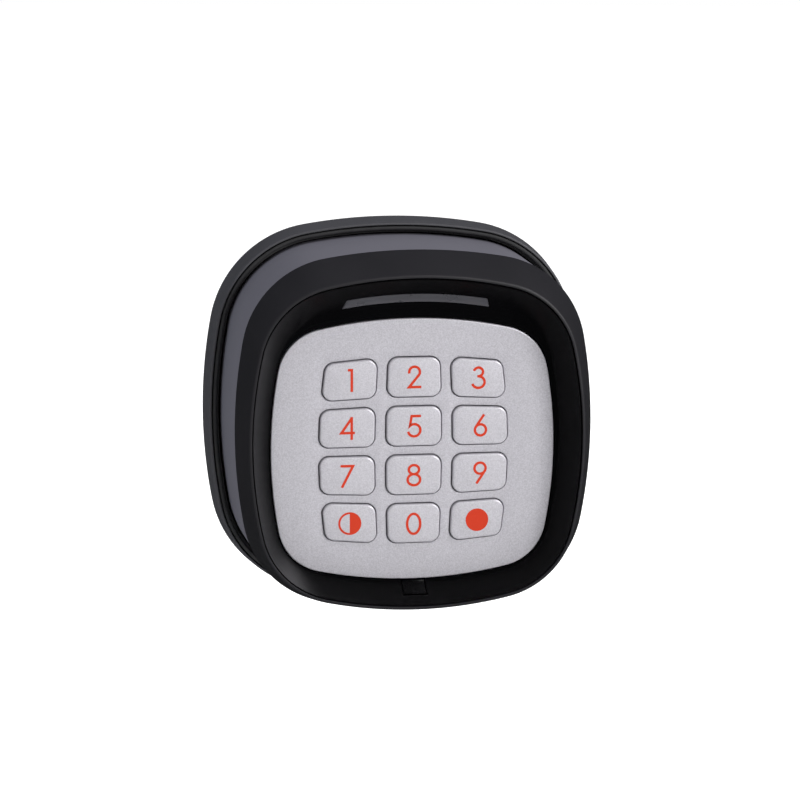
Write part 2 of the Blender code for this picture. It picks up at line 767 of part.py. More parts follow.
def grid_place(column, row):
    """Where the bowed key grid puts a column and a row, which may be fractions."""
    x = column * KEY_PITCH_X * (1 - KEY_BOW_X * row**2)
    z = row * KEY_PITCH_Z * (1 - KEY_BOW_Z * column**2)
    return x, z + PANEL.centre_z - KEY_GRID_BELOW_PANEL_CENTRE


def key_outline(column, row, grow):
    """A four-sided key that follows the bowed grid, its corners rounded, grown by a margin."""
    half_column = (KEY_WIDTH / 2 + grow) / KEY_PITCH_X
    half_row = (KEY_HEIGHT / 2 + grow) / KEY_PITCH_Z
    signs = ((1, -1), (1, 1), (-1, 1), (-1, -1))
    corners = [Vector(grid_place(column + a * half_column, row + b * half_row)) for a, b in signs]
    found = []
    radius = KEY_CORNER + grow
    for i, corner in enumerate(corners):
        before = (corners[i - 1] - corner).normalized()
        after = (corners[(i + 1) % 4] - corner).normalized()
        half_angle = before.angle(after) / 2
        centre = corner + (before + after).normalized() * radius / math.sin(half_angle)
        start = corner + before * radius / math.tan(half_angle) - centre
        turn = math.pi - 2 * half_angle
        for step in range(KEY_CORNER_STEPS + 1):
            place = centre + Matrix.Rotation(turn * step / KEY_CORNER_STEPS, 2) @ start
            found.append((place.x, place.y))
    return found


def key_places():
    for row, names in enumerate(KEY_NAMES):
        for column, name in enumerate(names):
            yield name, column - 1, 1.5 - row


def build_key_panel(module):
    mesh = bmesh.new()
    sections = (
        (PANEL.inset(PANEL_EDGE), PANEL_FACE),
        (PANEL, PANEL_FACE - PANEL_EDGE),
        (PANEL, PANEL_BACK),
        (SKIRT_OUTER, PANEL_BACK),
        (SKIRT_OUTER, SKIRT_END),
        (SKIRT_INNER, SKIRT_END),
        (SKIRT_INNER, PANEL_BACK),
    )
    add_shell(mesh, sections)
    panel = finish(mesh, "key_panel", "silver_paint", module.location.copy(), module)

    extras = bmesh.new()
    for x, z in MODULE_SCREW_PLACES:
        root = PANEL_BACK + PANEL_THICK / 2
        steps = ((MODULE_BOSS_RADIUS, root), (MODULE_BOSS_RADIUS, SKIRT_END))
        add_round(extras, x, z, steps, SMALL_SIDES)
    hook_front = PANEL_BACK - FIT
    for x in (-HOOK_X, HOOK_X):
        outer_x = abs(x) + HOOK_WIDTH / 2
        low = (x - HOOK_WIDTH / 2, hook_front - HOOK_THICK, SKIRT_INNER.top_at(outer_x))
        high = (x + HOOK_WIDTH / 2, hook_front, RING_INNER.top_at(x) + HOOK_REACH)
        add_box(extras, low, high)
    join(panel, extras, "key_panel_bosses")

    holes = bmesh.new()
    for _, column, row in key_places():
        flat = key_outline(column, row, FIT)
        add_stack(holes, [(flat, PANEL_BACK - OVERSHOOT), (flat, PANEL_FACE + OVERSHOOT)])
    radius = MODULE_SCREW_RADIUS + FIT
    for x, z in MODULE_SCREW_PLACES:
        steps = ((radius, SKIRT_END - OVERSHOOT), (radius, SKIRT_END + MODULE_SCREW_BITE + FIT))
        add_round(holes, x, z, steps, SMALL_SIDES)
    cut(panel, holes, "key_panel_holes")
    return panel


def build_keys(module):
    for name, column, row in key_places():
        cap = key_outline(column, row, 0.0)
        flange = key_outline(column, row, KEY_FLANGE)
        top = key_outline(column, row, -KEY_BEVEL)
        x, z = grid_place(column, row)
        front = PANEL_FACE + KEY_PROUD
        mesh = bmesh.new()
        sections = (
            (flange, KEY_BACK),
            (flange, KEY_FLANGE_FRONT),
            (cap, KEY_FLANGE_FRONT),
            (cap, front - KEY_BEVEL),
            (top, front),
        )
        add_stack(mesh, sections)
        finish(mesh, name, "silver_paint", point(x, front, z), module)


def cut_boss_holes(obj, name, back, front):
    holes = bmesh.new()
    radius = MODULE_BOSS_RADIUS + FIT
    steps = ((radius, back - OVERSHOOT), (radius, front + OVERSHOOT))
    for x, z in MODULE_SCREW_PLACES:
        add_round(holes, x, z, steps, SMALL_SIDES)
    cut(obj, holes, name)


def build_key_mat(module):
    mesh = bmesh.new()
    add_shell(mesh, ((INSIDE_SKIRT, SHEET_FRONT), (INSIDE_SKIRT, SHEET_BACK)))
    mat = finish(mesh, "key_mat", "mat_rubber", module.location.copy(), module)
    pads = bmesh.new()
    hollows = bmesh.new()
    for _, column, row in key_places():
        x, z = grid_place(column, row)
        foot = MAT_PAD_RADIUS + MAT_PAD_FLARE
        steps = ((foot, SHEET_FRONT - MAT_SHEET / 2), (MAT_PAD_RADIUS, PAD_FRONT))
        add_round(pads, x, z, steps, SMALL_SIDES)
        ceiling = PAD_FRONT - MAT_PAD_SKIN
        steps = ((MAT_HOLLOW_RADIUS, SHEET_BACK - OVERSHOOT), (MAT_HOLLOW_RADIUS, ceiling))
        add_round(hollows, x, z, steps, SMALL_SIDES)
    join(mat, pads, "key_mat_pads")
    cut(mat, hollows, "key_mat_hollows")
    cut_boss_holes(mat, "key_mat_holes", SHEET_BACK, SHEET_FRONT)
    return mat


def build_board(module):
    mesh = bmesh.new()
    add_shell(mesh, ((INSIDE_SKIRT, BOARD_FRONT), (INSIDE_SKIRT, BOARD_BACK)))
    board = finish(mesh, "circuit_board", "board_green", module.location.copy(), module)
    cut_boss_holes(board, "circuit_board_holes", BOARD_BACK, BOARD_FRONT)
    return board


def build_rear_cover(module):
    mesh = bmesh.new()
    sections = (
        (SKIRT_INNER, COVER_FLOOR_FRONT),
        (SKIRT_INNER, COVER_FRONT),
        (SKIRT_OUTER, COVER_FRONT),
        (SKIRT_OUTER, COVER_FLOOR_FRONT),
        (SKIRT_OUTER.inset(COVER_TAPER), COVER_REAR),
    )
    add_shell(mesh, sections)
    cover = finish(mesh, "rear_cover", "cover_black", module.location.copy(), module)

    inside_floor = COVER_REAR + COVER_FLOOR / 2
    walls = bmesh.new()
    outer = (BAY_HALF_X + BAY_WALL, BAY_HALF_Z + BAY_WALL)
    for side in (-1, 1):
        edges = sorted((side * BAY_HALF_X, side * outer[0]))
        low = (edges[0], BAY_REAR, BAY_Z - outer[1])
        add_box(walls, low, (edges[1], inside_floor, BAY_Z + outer[1]))
    join(cover, walls, "rear_cover_end_walls")
    walls = bmesh.new()
    for side in (-1, 1):
        edges = sorted((side * BAY_HALF_Z, side * outer[1]))
        low = (-BAY_HALF_X - BAY_WALL / 2, BAY_REAR + BAY_STEP, BAY_Z + edges[0])
        add_box(walls, low, (BAY_HALF_X + BAY_WALL / 2, inside_floor, BAY_Z + edges[1]))
    for x, z in MODULE_SCREW_PLACES:
        steps = ((MODULE_BOSS_RADIUS, inside_floor), (MODULE_BOSS_RADIUS, COVER_FRONT))
        add_round(walls, x, z, steps, SMALL_SIDES)
    tube = TUBE_BORE + TUBE_WALL
    add_round(walls, 0.0, TAMPER_Z, ((tube, TUBE_END), (tube, inside_floor)))
    join(cover, walls, "rear_cover_walls")

    holes = bmesh.new()
    radius = MODULE_SCREW_RADIUS + FIT
    steps = ((radius, COVER_REAR - OVERSHOOT), (radius, COVER_FRONT + OVERSHOOT))
    for x, z in MODULE_SCREW_PLACES:
        add_round(holes, x, z, steps, SMALL_SIDES)
    shaft = PLUNGER_RADIUS + FIT
    steps = (
        (TUBE_BORE, TUBE_END - OVERSHOOT),
        (TUBE_BORE, COVER_REAR),
        (shaft, COVER_REAR),
        (shaft, COVER_FRONT),
    )
    add_round(holes, 0.0, TAMPER_Z, steps)
    half = GUIDE_WIDTH / 2 + FIT
    top = SKIRT_OUTER.centre_z + SKIRT_OUTER.half_h
    notch = COMPONENT_FRONT - LED_HEIGHT - GUIDE_PAST_LED - FIT
    low = (-half, notch, top - SKIRT_WALL - OVERSHOOT)
    add_box(holes, low, (half, COVER_FRONT + OVERSHOOT, top + OVERSHOOT))
    cut(cover, holes, "rear_cover_holes")
    return cover


def build_module_screws(module):
    for number, (x, z) in enumerate(MODULE_SCREW_PLACES, 1):
        under_head = COVER_REAR - FIT
        steps = (
            (MODULE_HEAD_RADIUS, under_head - MODULE_HEAD_HEIGHT),
            (MODULE_HEAD_RADIUS, under_head),
            (MODULE_SCREW_RADIUS, under_head),
            (MODULE_SCREW_RADIUS, SKIRT_END + MODULE_SCREW_BITE),
        )
        mesh = bmesh.new()
        add_round(mesh, x, z, steps, SMALL_SIDES)
        finish(mesh, f"module_screw_{number}", "screw_steel", point(x, COVER_REAR, z), module)


def cell_z(number):
    return BAY_Z + (1 - number) * (2 * CELL_RADIUS + CELL_GAP)


def build_cells(module):
    """Three cells in series, so the middle one lies the other way round."""
    end = (CELL_LENGTH + CELL_NUB_LENGTH) / 2
    for number in range(CELL_COUNT):
        way = -1 if number == 1 else 1
        shoulder = end - CELL_NUB_LENGTH
        steps = (
            (CELL_RADIUS - CELL_CHAMFER, -way * end),
            (CELL_RADIUS, -way * (end - CELL_CHAMFER)),
            (CELL_RADIUS, way * (shoulder - CELL_CHAMFER)),
            (CELL_RADIUS - CELL_CHAMFER, way * shoulder),
            (CELL_NUB_RADIUS, way * shoulder),
            (CELL_NUB_RADIUS, way * end),
        )
        mesh = bmesh.new()
        add_cylinder_x(mesh, steps, CELL_DEPTH, cell_z(number))
        place = point(0.0, CELL_DEPTH, cell_z(number))
        finish(mesh, f"cell_{number + 1}", "cell_jacket", place, module)


def build_contacts(module):
    """Plates at the bay's ends: a spring meets each flat end of a cell, a button each nub."""
    cell_end = (CELL_LENGTH + CELL_NUB_LENGTH) / 2
    plates = (
        ("contact_positive", 1, (0,)),
        ("contact_link_right", 1, (1, 2)),
        ("contact_link_left", -1, (0, 1)),
        ("contact_negative", -1, (2,)),
    )
    for name, side, cells in plates:
        outer = BAY_HALF_X - FIT
        inner = outer - CONTACT_THICK
        edges = sorted((side * inner, side * outer))
        heights = [cell_z(number) for number in cells]
        rear = CELL_DEPTH - CONTACT_WIDTH / 2
        mesh = bmesh.new()
        low = (edges[0], rear, min(heights) - CONTACT_WIDTH / 2)
        add_box(mesh, low, (edges[1], rear + CONTACT_WIDTH, max(heights) + CONTACT_WIDTH / 2))
        plate = finish(mesh, name, "spring_steel", module.location.copy(), module)
        tips = bmesh.new()
        for number in cells:
            nub_side = -1 if number == 1 else 1
            tip = side * (cell_end + FIT)
            root = side * (inner + CONTACT_THICK / 2)
            if nub_side == side:
                steps = ((BUTTON_RADIUS, root), (BUTTON_RADIUS, tip))
            else:
                steps = ((SPRING_BASE_RADIUS, root), (SPRING_TIP_RADIUS, tip))
            add_cylinder_x(tips, steps, CELL_DEPTH, cell_z(number), SMALL_SIDES)
        join(plate, tips, name + "_tips")


def build_tamper_parts(module):
    mesh = bmesh.new()
    half = SWITCH_SIZE / 2
    low = (-half, COMPONENT_FRONT - SWITCH_HEIGHT, TAMPER_Z - half)
    add_box(mesh, low, (half, COMPONENT_FRONT, TAMPER_Z + half))
    finish(mesh, "tamper_switch", "chip_black", module.location.copy(), module)

    collar = PLUNGER_TIP + PLUNGER_COLLAR_FROM_TIP
    steps = (
        (PLUNGER_TIP_RADIUS, PLUNGER_TIP),
        (PLUNGER_RADIUS, PLUNGER_TIP + PLUNGER_TIP_ROUND),
        (PLUNGER_RADIUS, collar),
        (PLUNGER_COLLAR_RADIUS, collar),
        (PLUNGER_COLLAR_RADIUS, collar + PLUNGER_COLLAR),
        (PLUNGER_RADIUS, collar + PLUNGER_COLLAR),
        (PLUNGER_RADIUS, PLUNGER_FRONT),
    )
    mesh = bmesh.new()
    add_round(mesh, 0.0, TAMPER_Z, steps, SMALL_SIDES)
    finish(mesh, "tamper_plunger", "white_plastic", point(0.0, PLUNGER_TIP, TAMPER_Z), module)

    rear = collar + PLUNGER_COLLAR + FIT
    front = COVER_REAR - FIT
    inner = PLUNGER_RADIUS + FIT
    outer = inner + SPRING_WIRE
    mesh = bmesh.new()
    sections = []
    for radius, depth in ((outer, rear), (outer, front), (inner, front), (inner, rear)):
        sections.append((circle(0.0, TAMPER_Z, radius, SMALL_SIDES), depth))
    loops = loops_of(mesh, sections)
    for i, loop in enumerate(loops):
        bridge(mesh, loop, loops[(i + 1) % len(loops)])
    finish(mesh, "tamper_spring", "spring_steel", point(0.0, rear, TAMPER_Z), module)


def build_components(module):
    mesh = bmesh.new()
    rear = COMPONENT_FRONT - SOUNDER_HEIGHT
    add_round(mesh, *SOUNDER_PLACE, ((SOUNDER_RADIUS, COMPONENT_FRONT), (SOUNDER_RADIUS, rear)))
    finish(mesh, "sounder", "chip_black", module.location.copy(), module)

    x, z = CHIP_PLACE
    half = CHIP_SIZE / 2
    mesh = bmesh.new()
    low = (x - half, COMPONENT_FRONT - CHIP_HEIGHT, z - half)
    add_box(mesh, low, (x + half, COMPONENT_FRONT, z + half))
    finish(mesh, "microcontroller", "chip_black", module.location.copy(), module)

    x, z = RADIO_PLACE
    half = RADIO_WIDTH / 2
    mesh = bmesh.new()
    low = (x - half, COMPONENT_FRONT - RADIO_HEIGHT, z - RADIO_DEEP / 2)
    add_box(mesh, low, (x + half, COMPONENT_FRONT, z + RADIO_DEEP / 2))
    finish(mesh, "radio_module", "board_green", module.location.copy(), module)

    aerial_z = z + RADIO_DEEP / 2 + FIT + AERIAL_RADIUS
    half = AERIAL_LENGTH / 2
    mesh = bmesh.new()
    steps = ((AERIAL_RADIUS, x - half), (AERIAL_RADIUS, x + half))
    add_cylinder_x(mesh, steps, COMPONENT_FRONT - AERIAL_RADIUS, aerial_z, SMALL_SIDES)
    finish(mesh, "aerial_coil", "copper", module.location.copy(), module)

    top = INSIDE_SKIRT.centre_z + INSIDE_SKIRT.half_h - FIT
    for number in range(LED_COUNT):
        x = (number - (LED_COUNT - 1) / 2) * LED_PITCH
        mesh = bmesh.new()
        low = (x - LED_WIDTH / 2, COMPONENT_FRONT - LED_HEIGHT, top - LED_DEEP)
        add_box(mesh, low, (x + LED_WIDTH / 2, COMPONENT_FRONT, top))
        finish(mesh, f"indicator_led_{number + 1}", "white_plastic", module.location.copy(), module)


def catch_bottom():
    outline = dish_outline(CATCH_SHARE)
    return outline.centre_z - outline.half_h


def build_release_catch(module):
    """A finger tab flush with the dish, on a stem that springs up when it is pushed."""
    half = CATCH_WIDTH / 2
    shares = (0.0, CATCH_SHARE / 2, CATCH_SHARE)
    face = []
    for share in shares:
        outline = dish_outline(share)
        face.append((outline.centre_z - outline.half_h, dish_depth(share)))
    top = face[0][0]
    bottom = face[-1][0]
    stem_top = PANEL.centre_z - PANEL.half_h - FIT - CATCH_TRAVEL
    stem_end = PANEL_FACE - CATCH_STEM_LENGTH
    profile = (
        (top, PANEL_FACE + FIT),
        (face[1][0], face[1][1]),
        (bottom, face[2][1]),
        (bottom, stem_end),
        (stem_top, stem_end),
        (stem_top, PANEL_FACE + FIT),
    )
    mesh = bmesh.new()
    add_prism(mesh, profile, -half, half)
    finish(mesh, "release_catch", "gloss_black", point(0.0, PANEL_FACE, bottom), module)


def main():
    clear_scene()
    build_wall_plate()
    build_seal()
    build_body_shell()
    build_bezel()
    build_face_ring()
    build_indicator_lens()
    build_shell_screws()
    build_bezel_screws()
    module = empty("front_module_hinge", point(0.0, HINGE_DEPTH, HINGE_Z))
    build_key_panel(module)
    build_keys(module)
    build_key_mat(module)
    build_board(module)
    build_rear_cover(module)
    build_module_screws(module)
    build_cells(module)
    build_contacts(module)
    build_tamper_parts(module)
    build_components(module)
    build_release_catch(module)


main()
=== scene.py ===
import collections
import json
import math

import bmesh
import bpy
from mathutils import Matrix, Vector

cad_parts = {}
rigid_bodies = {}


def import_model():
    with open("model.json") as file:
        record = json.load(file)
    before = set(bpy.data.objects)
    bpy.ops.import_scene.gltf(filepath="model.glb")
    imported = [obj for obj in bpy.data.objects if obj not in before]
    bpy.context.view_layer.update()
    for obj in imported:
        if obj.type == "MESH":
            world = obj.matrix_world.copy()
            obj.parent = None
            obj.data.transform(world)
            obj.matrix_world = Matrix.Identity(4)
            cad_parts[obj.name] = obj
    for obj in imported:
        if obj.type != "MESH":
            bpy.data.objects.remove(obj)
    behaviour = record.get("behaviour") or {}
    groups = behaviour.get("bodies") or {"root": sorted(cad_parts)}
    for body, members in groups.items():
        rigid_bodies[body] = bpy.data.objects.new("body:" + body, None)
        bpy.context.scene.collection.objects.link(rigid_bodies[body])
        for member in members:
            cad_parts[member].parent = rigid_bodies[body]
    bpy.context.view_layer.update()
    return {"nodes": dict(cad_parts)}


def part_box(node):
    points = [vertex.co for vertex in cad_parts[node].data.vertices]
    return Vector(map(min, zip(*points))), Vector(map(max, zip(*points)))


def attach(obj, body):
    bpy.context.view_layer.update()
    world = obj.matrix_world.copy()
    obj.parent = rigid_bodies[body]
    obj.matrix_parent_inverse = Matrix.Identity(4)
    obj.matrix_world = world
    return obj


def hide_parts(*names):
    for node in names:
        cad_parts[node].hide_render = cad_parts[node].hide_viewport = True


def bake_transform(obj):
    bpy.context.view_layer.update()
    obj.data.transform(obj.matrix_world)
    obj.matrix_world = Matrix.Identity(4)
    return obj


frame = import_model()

for name in ("Cube", "Light", "Camera"):
    if name in bpy.data.objects:
        bpy.data.objects.remove(bpy.data.objects[name])

MM = 0.001
FIT = 0.3  # gap between two pieces that touch
OVERSHOOT = 1.0  # how far a cutter runs past the face that it opens


# ------------------------------------------------------------------ wall plate
# A shallow tray of dark grey ABS that is screwed to the wall. The mould was spark-eroded, so the
# outside is evenly matt with a grain of about a third of a millimetre. Its rim leans in slightly.

PLATE_RADII = (131.0, 138.0, 29.9)  # side arc, top arc, corner
PLATE_FLOOR = 2.4
PLATE_WIDEST_DEPTH = 1.5
RIM_DEPTH = 10.8
RIM_DRAFT = 1.1
RIM_LAND = 0.6
LEDGE_BELOW_RIM = 3.2
LEDGE_WIDTH = 1.6
BOSS_RADIUS = 3.5
BOSS_TOP = 8.7
BOSS_CHAMFER = 0.3
PILOT_RADIUS = 1.75
SHELL_SCREW_PLACES = ((-31.0, 20.0), (31.0, 20.0), (-31.0, -30.0), (31.0, -30.0))
POST_RADIUS = 3.0
POST_PLACE = (0.0, 12.0)
SLOT_RADIUS = 2.0
SLOT_HALF = 2.5
SLOT_Z = 30.0
SLOT_COUNTERSINK = 0.8
SIDE_STEPS = 12
CORNER_STEPS = 20
ROUND_STEPS = 5
ROUND_SIDES = 48
SHARP_ANGLE = 32.0

Span = collections.namedtuple("Span", "half_w bottom top rear front")


def span(node):
    """A node's extent in millimetres: half width, heights, and depths out from the wall."""
    low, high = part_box(node)
    return Span(high.x / MM, low.z / MM, high.z / MM, -high.y / MM, -low.y / MM)


def point(x, depth, z):
    return Vector((x, -depth, z)) * MM


class Outline(collections.namedtuple("Outline", "half_w half_h side_r top_r corner_r centre_z")):
    """A rounded square of eight arcs: long ones at the top, bottom and sides, and four corners."""

    def inset(self, by):
        sizes = [value - by for value in self[:5]]
        return Outline(*sizes, self.centre_z)

    def blend(self, other, share):
        return Outline(*(a + (b - a) * share for a, b in zip(self, other)))

    def quarter(self):
        side_x = self.half_w - self.side_r
        top_z = self.half_h - self.top_r
        from_side = self.side_r - self.corner_r
        from_top = self.top_r - self.corner_r
        apart = math.hypot(side_x, top_z)
        along = (from_side**2 - from_top**2 + apart**2) / (2 * apart)
        across = math.sqrt(from_side**2 - along**2)
        corner_x = side_x - along * side_x / apart - across * top_z / apart
        corner_z = along * top_z / apart - across * side_x / apart
        first = math.atan2(corner_z, corner_x - side_x)
        last = math.atan2(corner_z - top_z, corner_x)
        arcs = (
            (side_x, 0.0, self.side_r, 0.0, first, SIDE_STEPS),
            (corner_x, corner_z, self.corner_r, first, last, CORNER_STEPS),
            (0.0, top_z, self.top_r, last, math.pi / 2, SIDE_STEPS),
        )
        found = []
        for x, z, radius, start, end, steps in arcs:
            for step in range(steps):
                angle = start + (end - start) * step / steps
                found.append((x + radius * math.cos(angle), z + radius * math.sin(angle)))
        return found

    def points(self):
        right = self.quarter()
        half = right + [(0.0, self.half_h)] + [(-x, z) for x, z in reversed(right[1:])]
        whole = half + [(-self.half_w, 0.0)] + [(x, -z) for x, z in reversed(half[1:])]
        return [(x, z + self.centre_z) for x, z in whole]

    def top_at(self, x):
        return self.centre_z + self.half_h - self.top_r + math.sqrt(self.top_r**2 - x**2)


def outline_of(extent, radii):
    half_h = (extent.top - extent.bottom) / 2
    return Outline(extent.half_w, half_h, *radii, (extent.top + extent.bottom) / 2)


def softened(corners, closed=True):
    """The (outline, depth) sections of a cross-section whose (outline, depth, radius) corners are rounded."""
    found = []
    for i, (outline, depth, radius) in enumerate(corners):
        here = (*outline, depth)
        at_end = not closed and i in (0, len(corners) - 1)
        if not radius or at_end:
            found.append((outline, depth))
            continue
        ends = []
        for other in (corners[i - 1], corners[(i + 1) % len(corners)]):
            there = (*other[0], other[1])
            share = radius / math.hypot(there[0] - here[0], there[-1] - here[-1])
            ends.append([a + (b - a) * share for a, b in zip(here, there)])
        for step in range(ROUND_STEPS + 1):
            t = step / ROUND_STEPS
            start, middle, end = (1 - t) ** 2, 2 * t * (1 - t), t**2
            mixed = [a * start + b * middle + c * end for a, b, c in zip(ends[0], here, ends[1])]
            found.append((Outline(*mixed[:6]), mixed[6]))
    return found


def bridge(mesh, first, second):
    for i, corner in enumerate(first):
        after = (i + 1) % len(first)
        mesh.faces.new((corner, first[after], second[after], second[i]))


def stack(mesh, sections, closed=False):
    """A solid through flat loops of (x, z) points at their depths: closed on itself, or capped."""
    loops = []
    for flat, depth in sections:
        loops.append([mesh.verts.new(point(x, depth, z)) for x, z in flat])
    for first, second in zip(loops, loops[1:]):
        bridge(mesh, first, second)
    if closed:
        bridge(mesh, loops[-1], loops[0])
    else:
        mesh.faces.new(loops[0])
        mesh.faces.new(loops[-1])


def loft(mesh, corners, closed=True):
    sections = [(outline.points(), depth) for outline, depth in softened(corners, closed)]
    stack(mesh, sections, closed)


def circle(x, z, radius, sides=ROUND_SIDES):
    turn = 2 * math.pi / sides
    return [(x + radius * math.cos(turn * i), z + radius * math.sin(turn * i)) for i in range(sides)]


def turned(mesh, x, z, steps, sides=ROUND_SIDES):
    """A turned piece from its (radius, depth) steps."""
    stack(mesh, [(circle(x, z, radius, sides), depth) for radius, depth in steps])


def as_object(name, mesh):
    bmesh.ops.recalc_face_normals(mesh, faces=mesh.faces)
    data = bpy.data.meshes.new(name)
    mesh.to_mesh(data)
    mesh.free()
    obj = bpy.data.objects.new(name, data)
    bpy.context.scene.collection.objects.link(obj)
    return obj


def combine(obj, mesh, operation):
    """Cuts a mesh from an object, or joins it on, and keeps the result as the object's mesh."""
    tool = as_object("tool", mesh)
    step = obj.modifiers.new("step", "BOOLEAN")
    step.operation = operation
    step.object = tool
    graph = bpy.context.evaluated_depsgraph_get()
    done = bpy.data.meshes.new_from_object(obj.evaluated_get(graph))
    before = obj.data
    obj.modifiers.clear()
    obj.data = done
    bpy.data.meshes.remove(before)
    bpy.data.objects.remove(tool)


def shade(obj, finish):
    """Smooth shading with true edges kept, and the piece's material."""
    obj.data.materials.clear()
    obj.data.materials.append(finish.material)
    obj.data.shade_smooth()
    obj.data.set_sharp_from_angle(angle=math.radians(SHARP_ANGLE))


class Signal:
    """A node's output. Arithmetic on it adds Math nodes."""

    def __init__(self, finish, socket):
        self.finish = finish
        self.socket = socket

    def math(self, operation, first, second):
        return self.finish.node("ShaderNodeMath", {"operation": operation}, {0: first, 1: second})

    def __add__(self, other):
        return self.math("ADD", self, other)

    def __radd__(self, other):
        return self.math("ADD", other, self)

    def __sub__(self, other):
        return self.math("SUBTRACT", self, other)

    def __rsub__(self, other):
        return self.math("SUBTRACT", other, self)

    def __mul__(self, other):
        return self.math("MULTIPLY", self, other)

    def __rmul__(self, other):
        return self.math("MULTIPLY", other, self)


class Nodes:
    """A node tree to which one method adds any node."""

    def __init__(self, tree):
        self.tree = tree

    def node(self, kind, settings, inputs, output=0):
        made = self.tree.nodes.new(kind)
        for name, value in settings.items():
            if name == "stops":
                made.color_ramp.elements[0].position = value[0]
                made.color_ramp.elements[1].position = value[1]
            else:
                setattr(made, name, value)
        for name, value in inputs.items():
            self.connect(made.inputs[name], value)
        return Signal(self, made.outputs[output])

    def connect(self, socket, value):
        if isinstance(value, Signal):
            self.tree.links.new(value.socket, socket)
        else:
            socket.default_value = value


class Finish(Nodes):
    """A material whose constants sit on the Principled shader and whose varying inputs are signals."""

    def __init__(self, name, constants):
        self.material = bpy.data.materials.new(name)
        self.material.use_nodes = True
        super().__init__(self.material.node_tree)
        self.shader = self.tree.nodes["Principled BSDF"]
        for socket, value in constants.items():
            self.feed(socket, value)
        self.place = self.node("ShaderNodeTexCoord", {}, {}, "Object")

    def feed(self, name, value):
        self.connect(self.shader.inputs[name], value)

    def noise(self, size, detail=2.0):
        """Noise from 0 to 1 with spots of about this many millimetres."""
        inputs = {"Vector": self.place, "Scale": 1 / (size * MM), "Detail": detail}
        return self.node("ShaderNodeTexNoise", {}, inputs)

    def steps(self, signal, low, high):
        """The signal spread so that low becomes 0 and high becomes 1."""
        return self.node("ShaderNodeValToRGB", {"stops": (low, high)}, {"Fac": signal})

    def mixed(self, share, first, second):
        """A colour between two, which are (r, g, b) values or signals."""
        ends = [end if isinstance(end, Signal) else (*end, 1.0) for end in (first, second)]
        inputs = {0: share, 6: ends[0], 7: ends[1]}
        return self.node("ShaderNodeMix", {"data_type": "RGBA"}, inputs, 2)

    def bump(self, height, depth, strength=1.0):
        """Relief of this many millimetres."""
        inputs = {"Height": height, "Distance": depth * MM, "Strength": strength}
        self.feed("Normal", self.node("ShaderNodeBump", {}, inputs))


plate_finish = Finish("plate_black", {"Specular IOR Level": 0.45})
grain = plate_finish.noise(0.35, 3.0)
cloud = plate_finish.noise(14.0)
plate_finish.feed("Base Color", plate_finish.mixed(cloud, (0.040, 0.040, 0.046), (0.054, 0.054, 0.061)))
plate_finish.feed("Roughness", 0.46 + 0.12 * grain + 0.06 * cloud)
plate_finish.bump(grain, 0.05, 0.5)

PLATE = outline_of(span("wall_plate"), PLATE_RADII)
RIM_OUTER = PLATE.inset(RIM_DRAFT)
RIM_INNER = RIM_OUTER.inset(RIM_LAND)
LEDGE_DEPTH = RIM_DEPTH - LEDGE_BELOW_RIM

mesh = bmesh.new()
loft(
    mesh,
    (
        (PLATE.inset(0.6), 0.0, 0.0),
        (PLATE, PLATE_WIDEST_DEPTH, 0.6),
        (RIM_OUTER, RIM_DEPTH, 0.35),
        (RIM_INNER, RIM_DEPTH, 0.15),
        (RIM_INNER, LEDGE_DEPTH, 0.0),
        (RIM_INNER.inset(LEDGE_WIDTH), LEDGE_DEPTH, 0.2),
        (RIM_INNER.inset(LEDGE_WIDTH), PLATE_FLOOR, 0.0),
    ),
    closed=False,
)
plate = as_object("wall_plate_moulding", mesh)

bosses = bmesh.new()
stands = [(x, z, BOSS_RADIUS, BOSS_TOP) for x, z in SHELL_SCREW_PLACES]
stands.append((*POST_PLACE, POST_RADIUS, span("tamper_plunger").rear - FIT))
for x, z, radius, top in stands:
    steps = ((radius, PLATE_FLOOR / 2), (radius, top - BOSS_CHAMFER), (radius - BOSS_CHAMFER, top))
    turned(bosses, x, z, steps)
combine(plate, bosses, "UNION")


def slot_outline(z, upright, radius):
    found = []
    for side in (1, -1):
        for step in range(ROUND_SIDES // 2 + 1):
            angle = math.pi * (2 * step / ROUND_SIDES - 0.5 * side)
            found.append((side * SLOT_HALF + radius * math.cos(angle), radius * math.sin(angle)))
    if upright:
        return [(-b, a + z) for a, b in found]
    return [(a, b + z) for a, b in found]


holes = bmesh.new()
for x, z in SHELL_SCREW_PLACES:
    turned(holes, x, z, ((PILOT_RADIUS, PLATE_FLOOR), (PILOT_RADIUS, BOSS_TOP + OVERSHOOT)))
for z, upright in ((SLOT_Z, False), (-SLOT_Z, True)):
    narrow = slot_outline(z, upright, SLOT_RADIUS)
    wide = slot_outline(z, upright, SLOT_RADIUS + SLOT_COUNTERSINK)
    seat = PLATE_FLOOR - SLOT_COUNTERSINK
    stack(holes, [(narrow, -OVERSHOOT), (narrow, seat), (wide, PLATE_FLOOR), (wide, PLATE_FLOOR + OVERSHOOT)])
combine(plate, holes, "DIFFERENCE")
shade(plate, plate_finish)
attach(plate, "housing")
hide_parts("wall_plate")


# ------------------------------------------------------------------ rubber seal
# A black EPDM bead pressed into the rim's ledge. The waist sits on its foot, and the bead's round
# back shows as a thin ridge with a deep shadow line beside it.

SEAL_BEAD = 1.0
SHADOW_GROOVE = 0.9
SEAL_FOOT_HEIGHT = 1.2

seal_finish = Finish("seal_rubber", {"Specular IOR Level": 0.3})
dust = seal_finish.noise(3.0, 4.0)
seal_finish.feed("Base Color", seal_finish.mixed(dust, (0.014, 0.014, 0.015), (0.032, 0.032, 0.034)))
seal_finish.feed("Roughness", 0.5 + 0.3 * dust)
seal_finish.bump(seal_finish.noise(0.5), 0.02, 0.4)

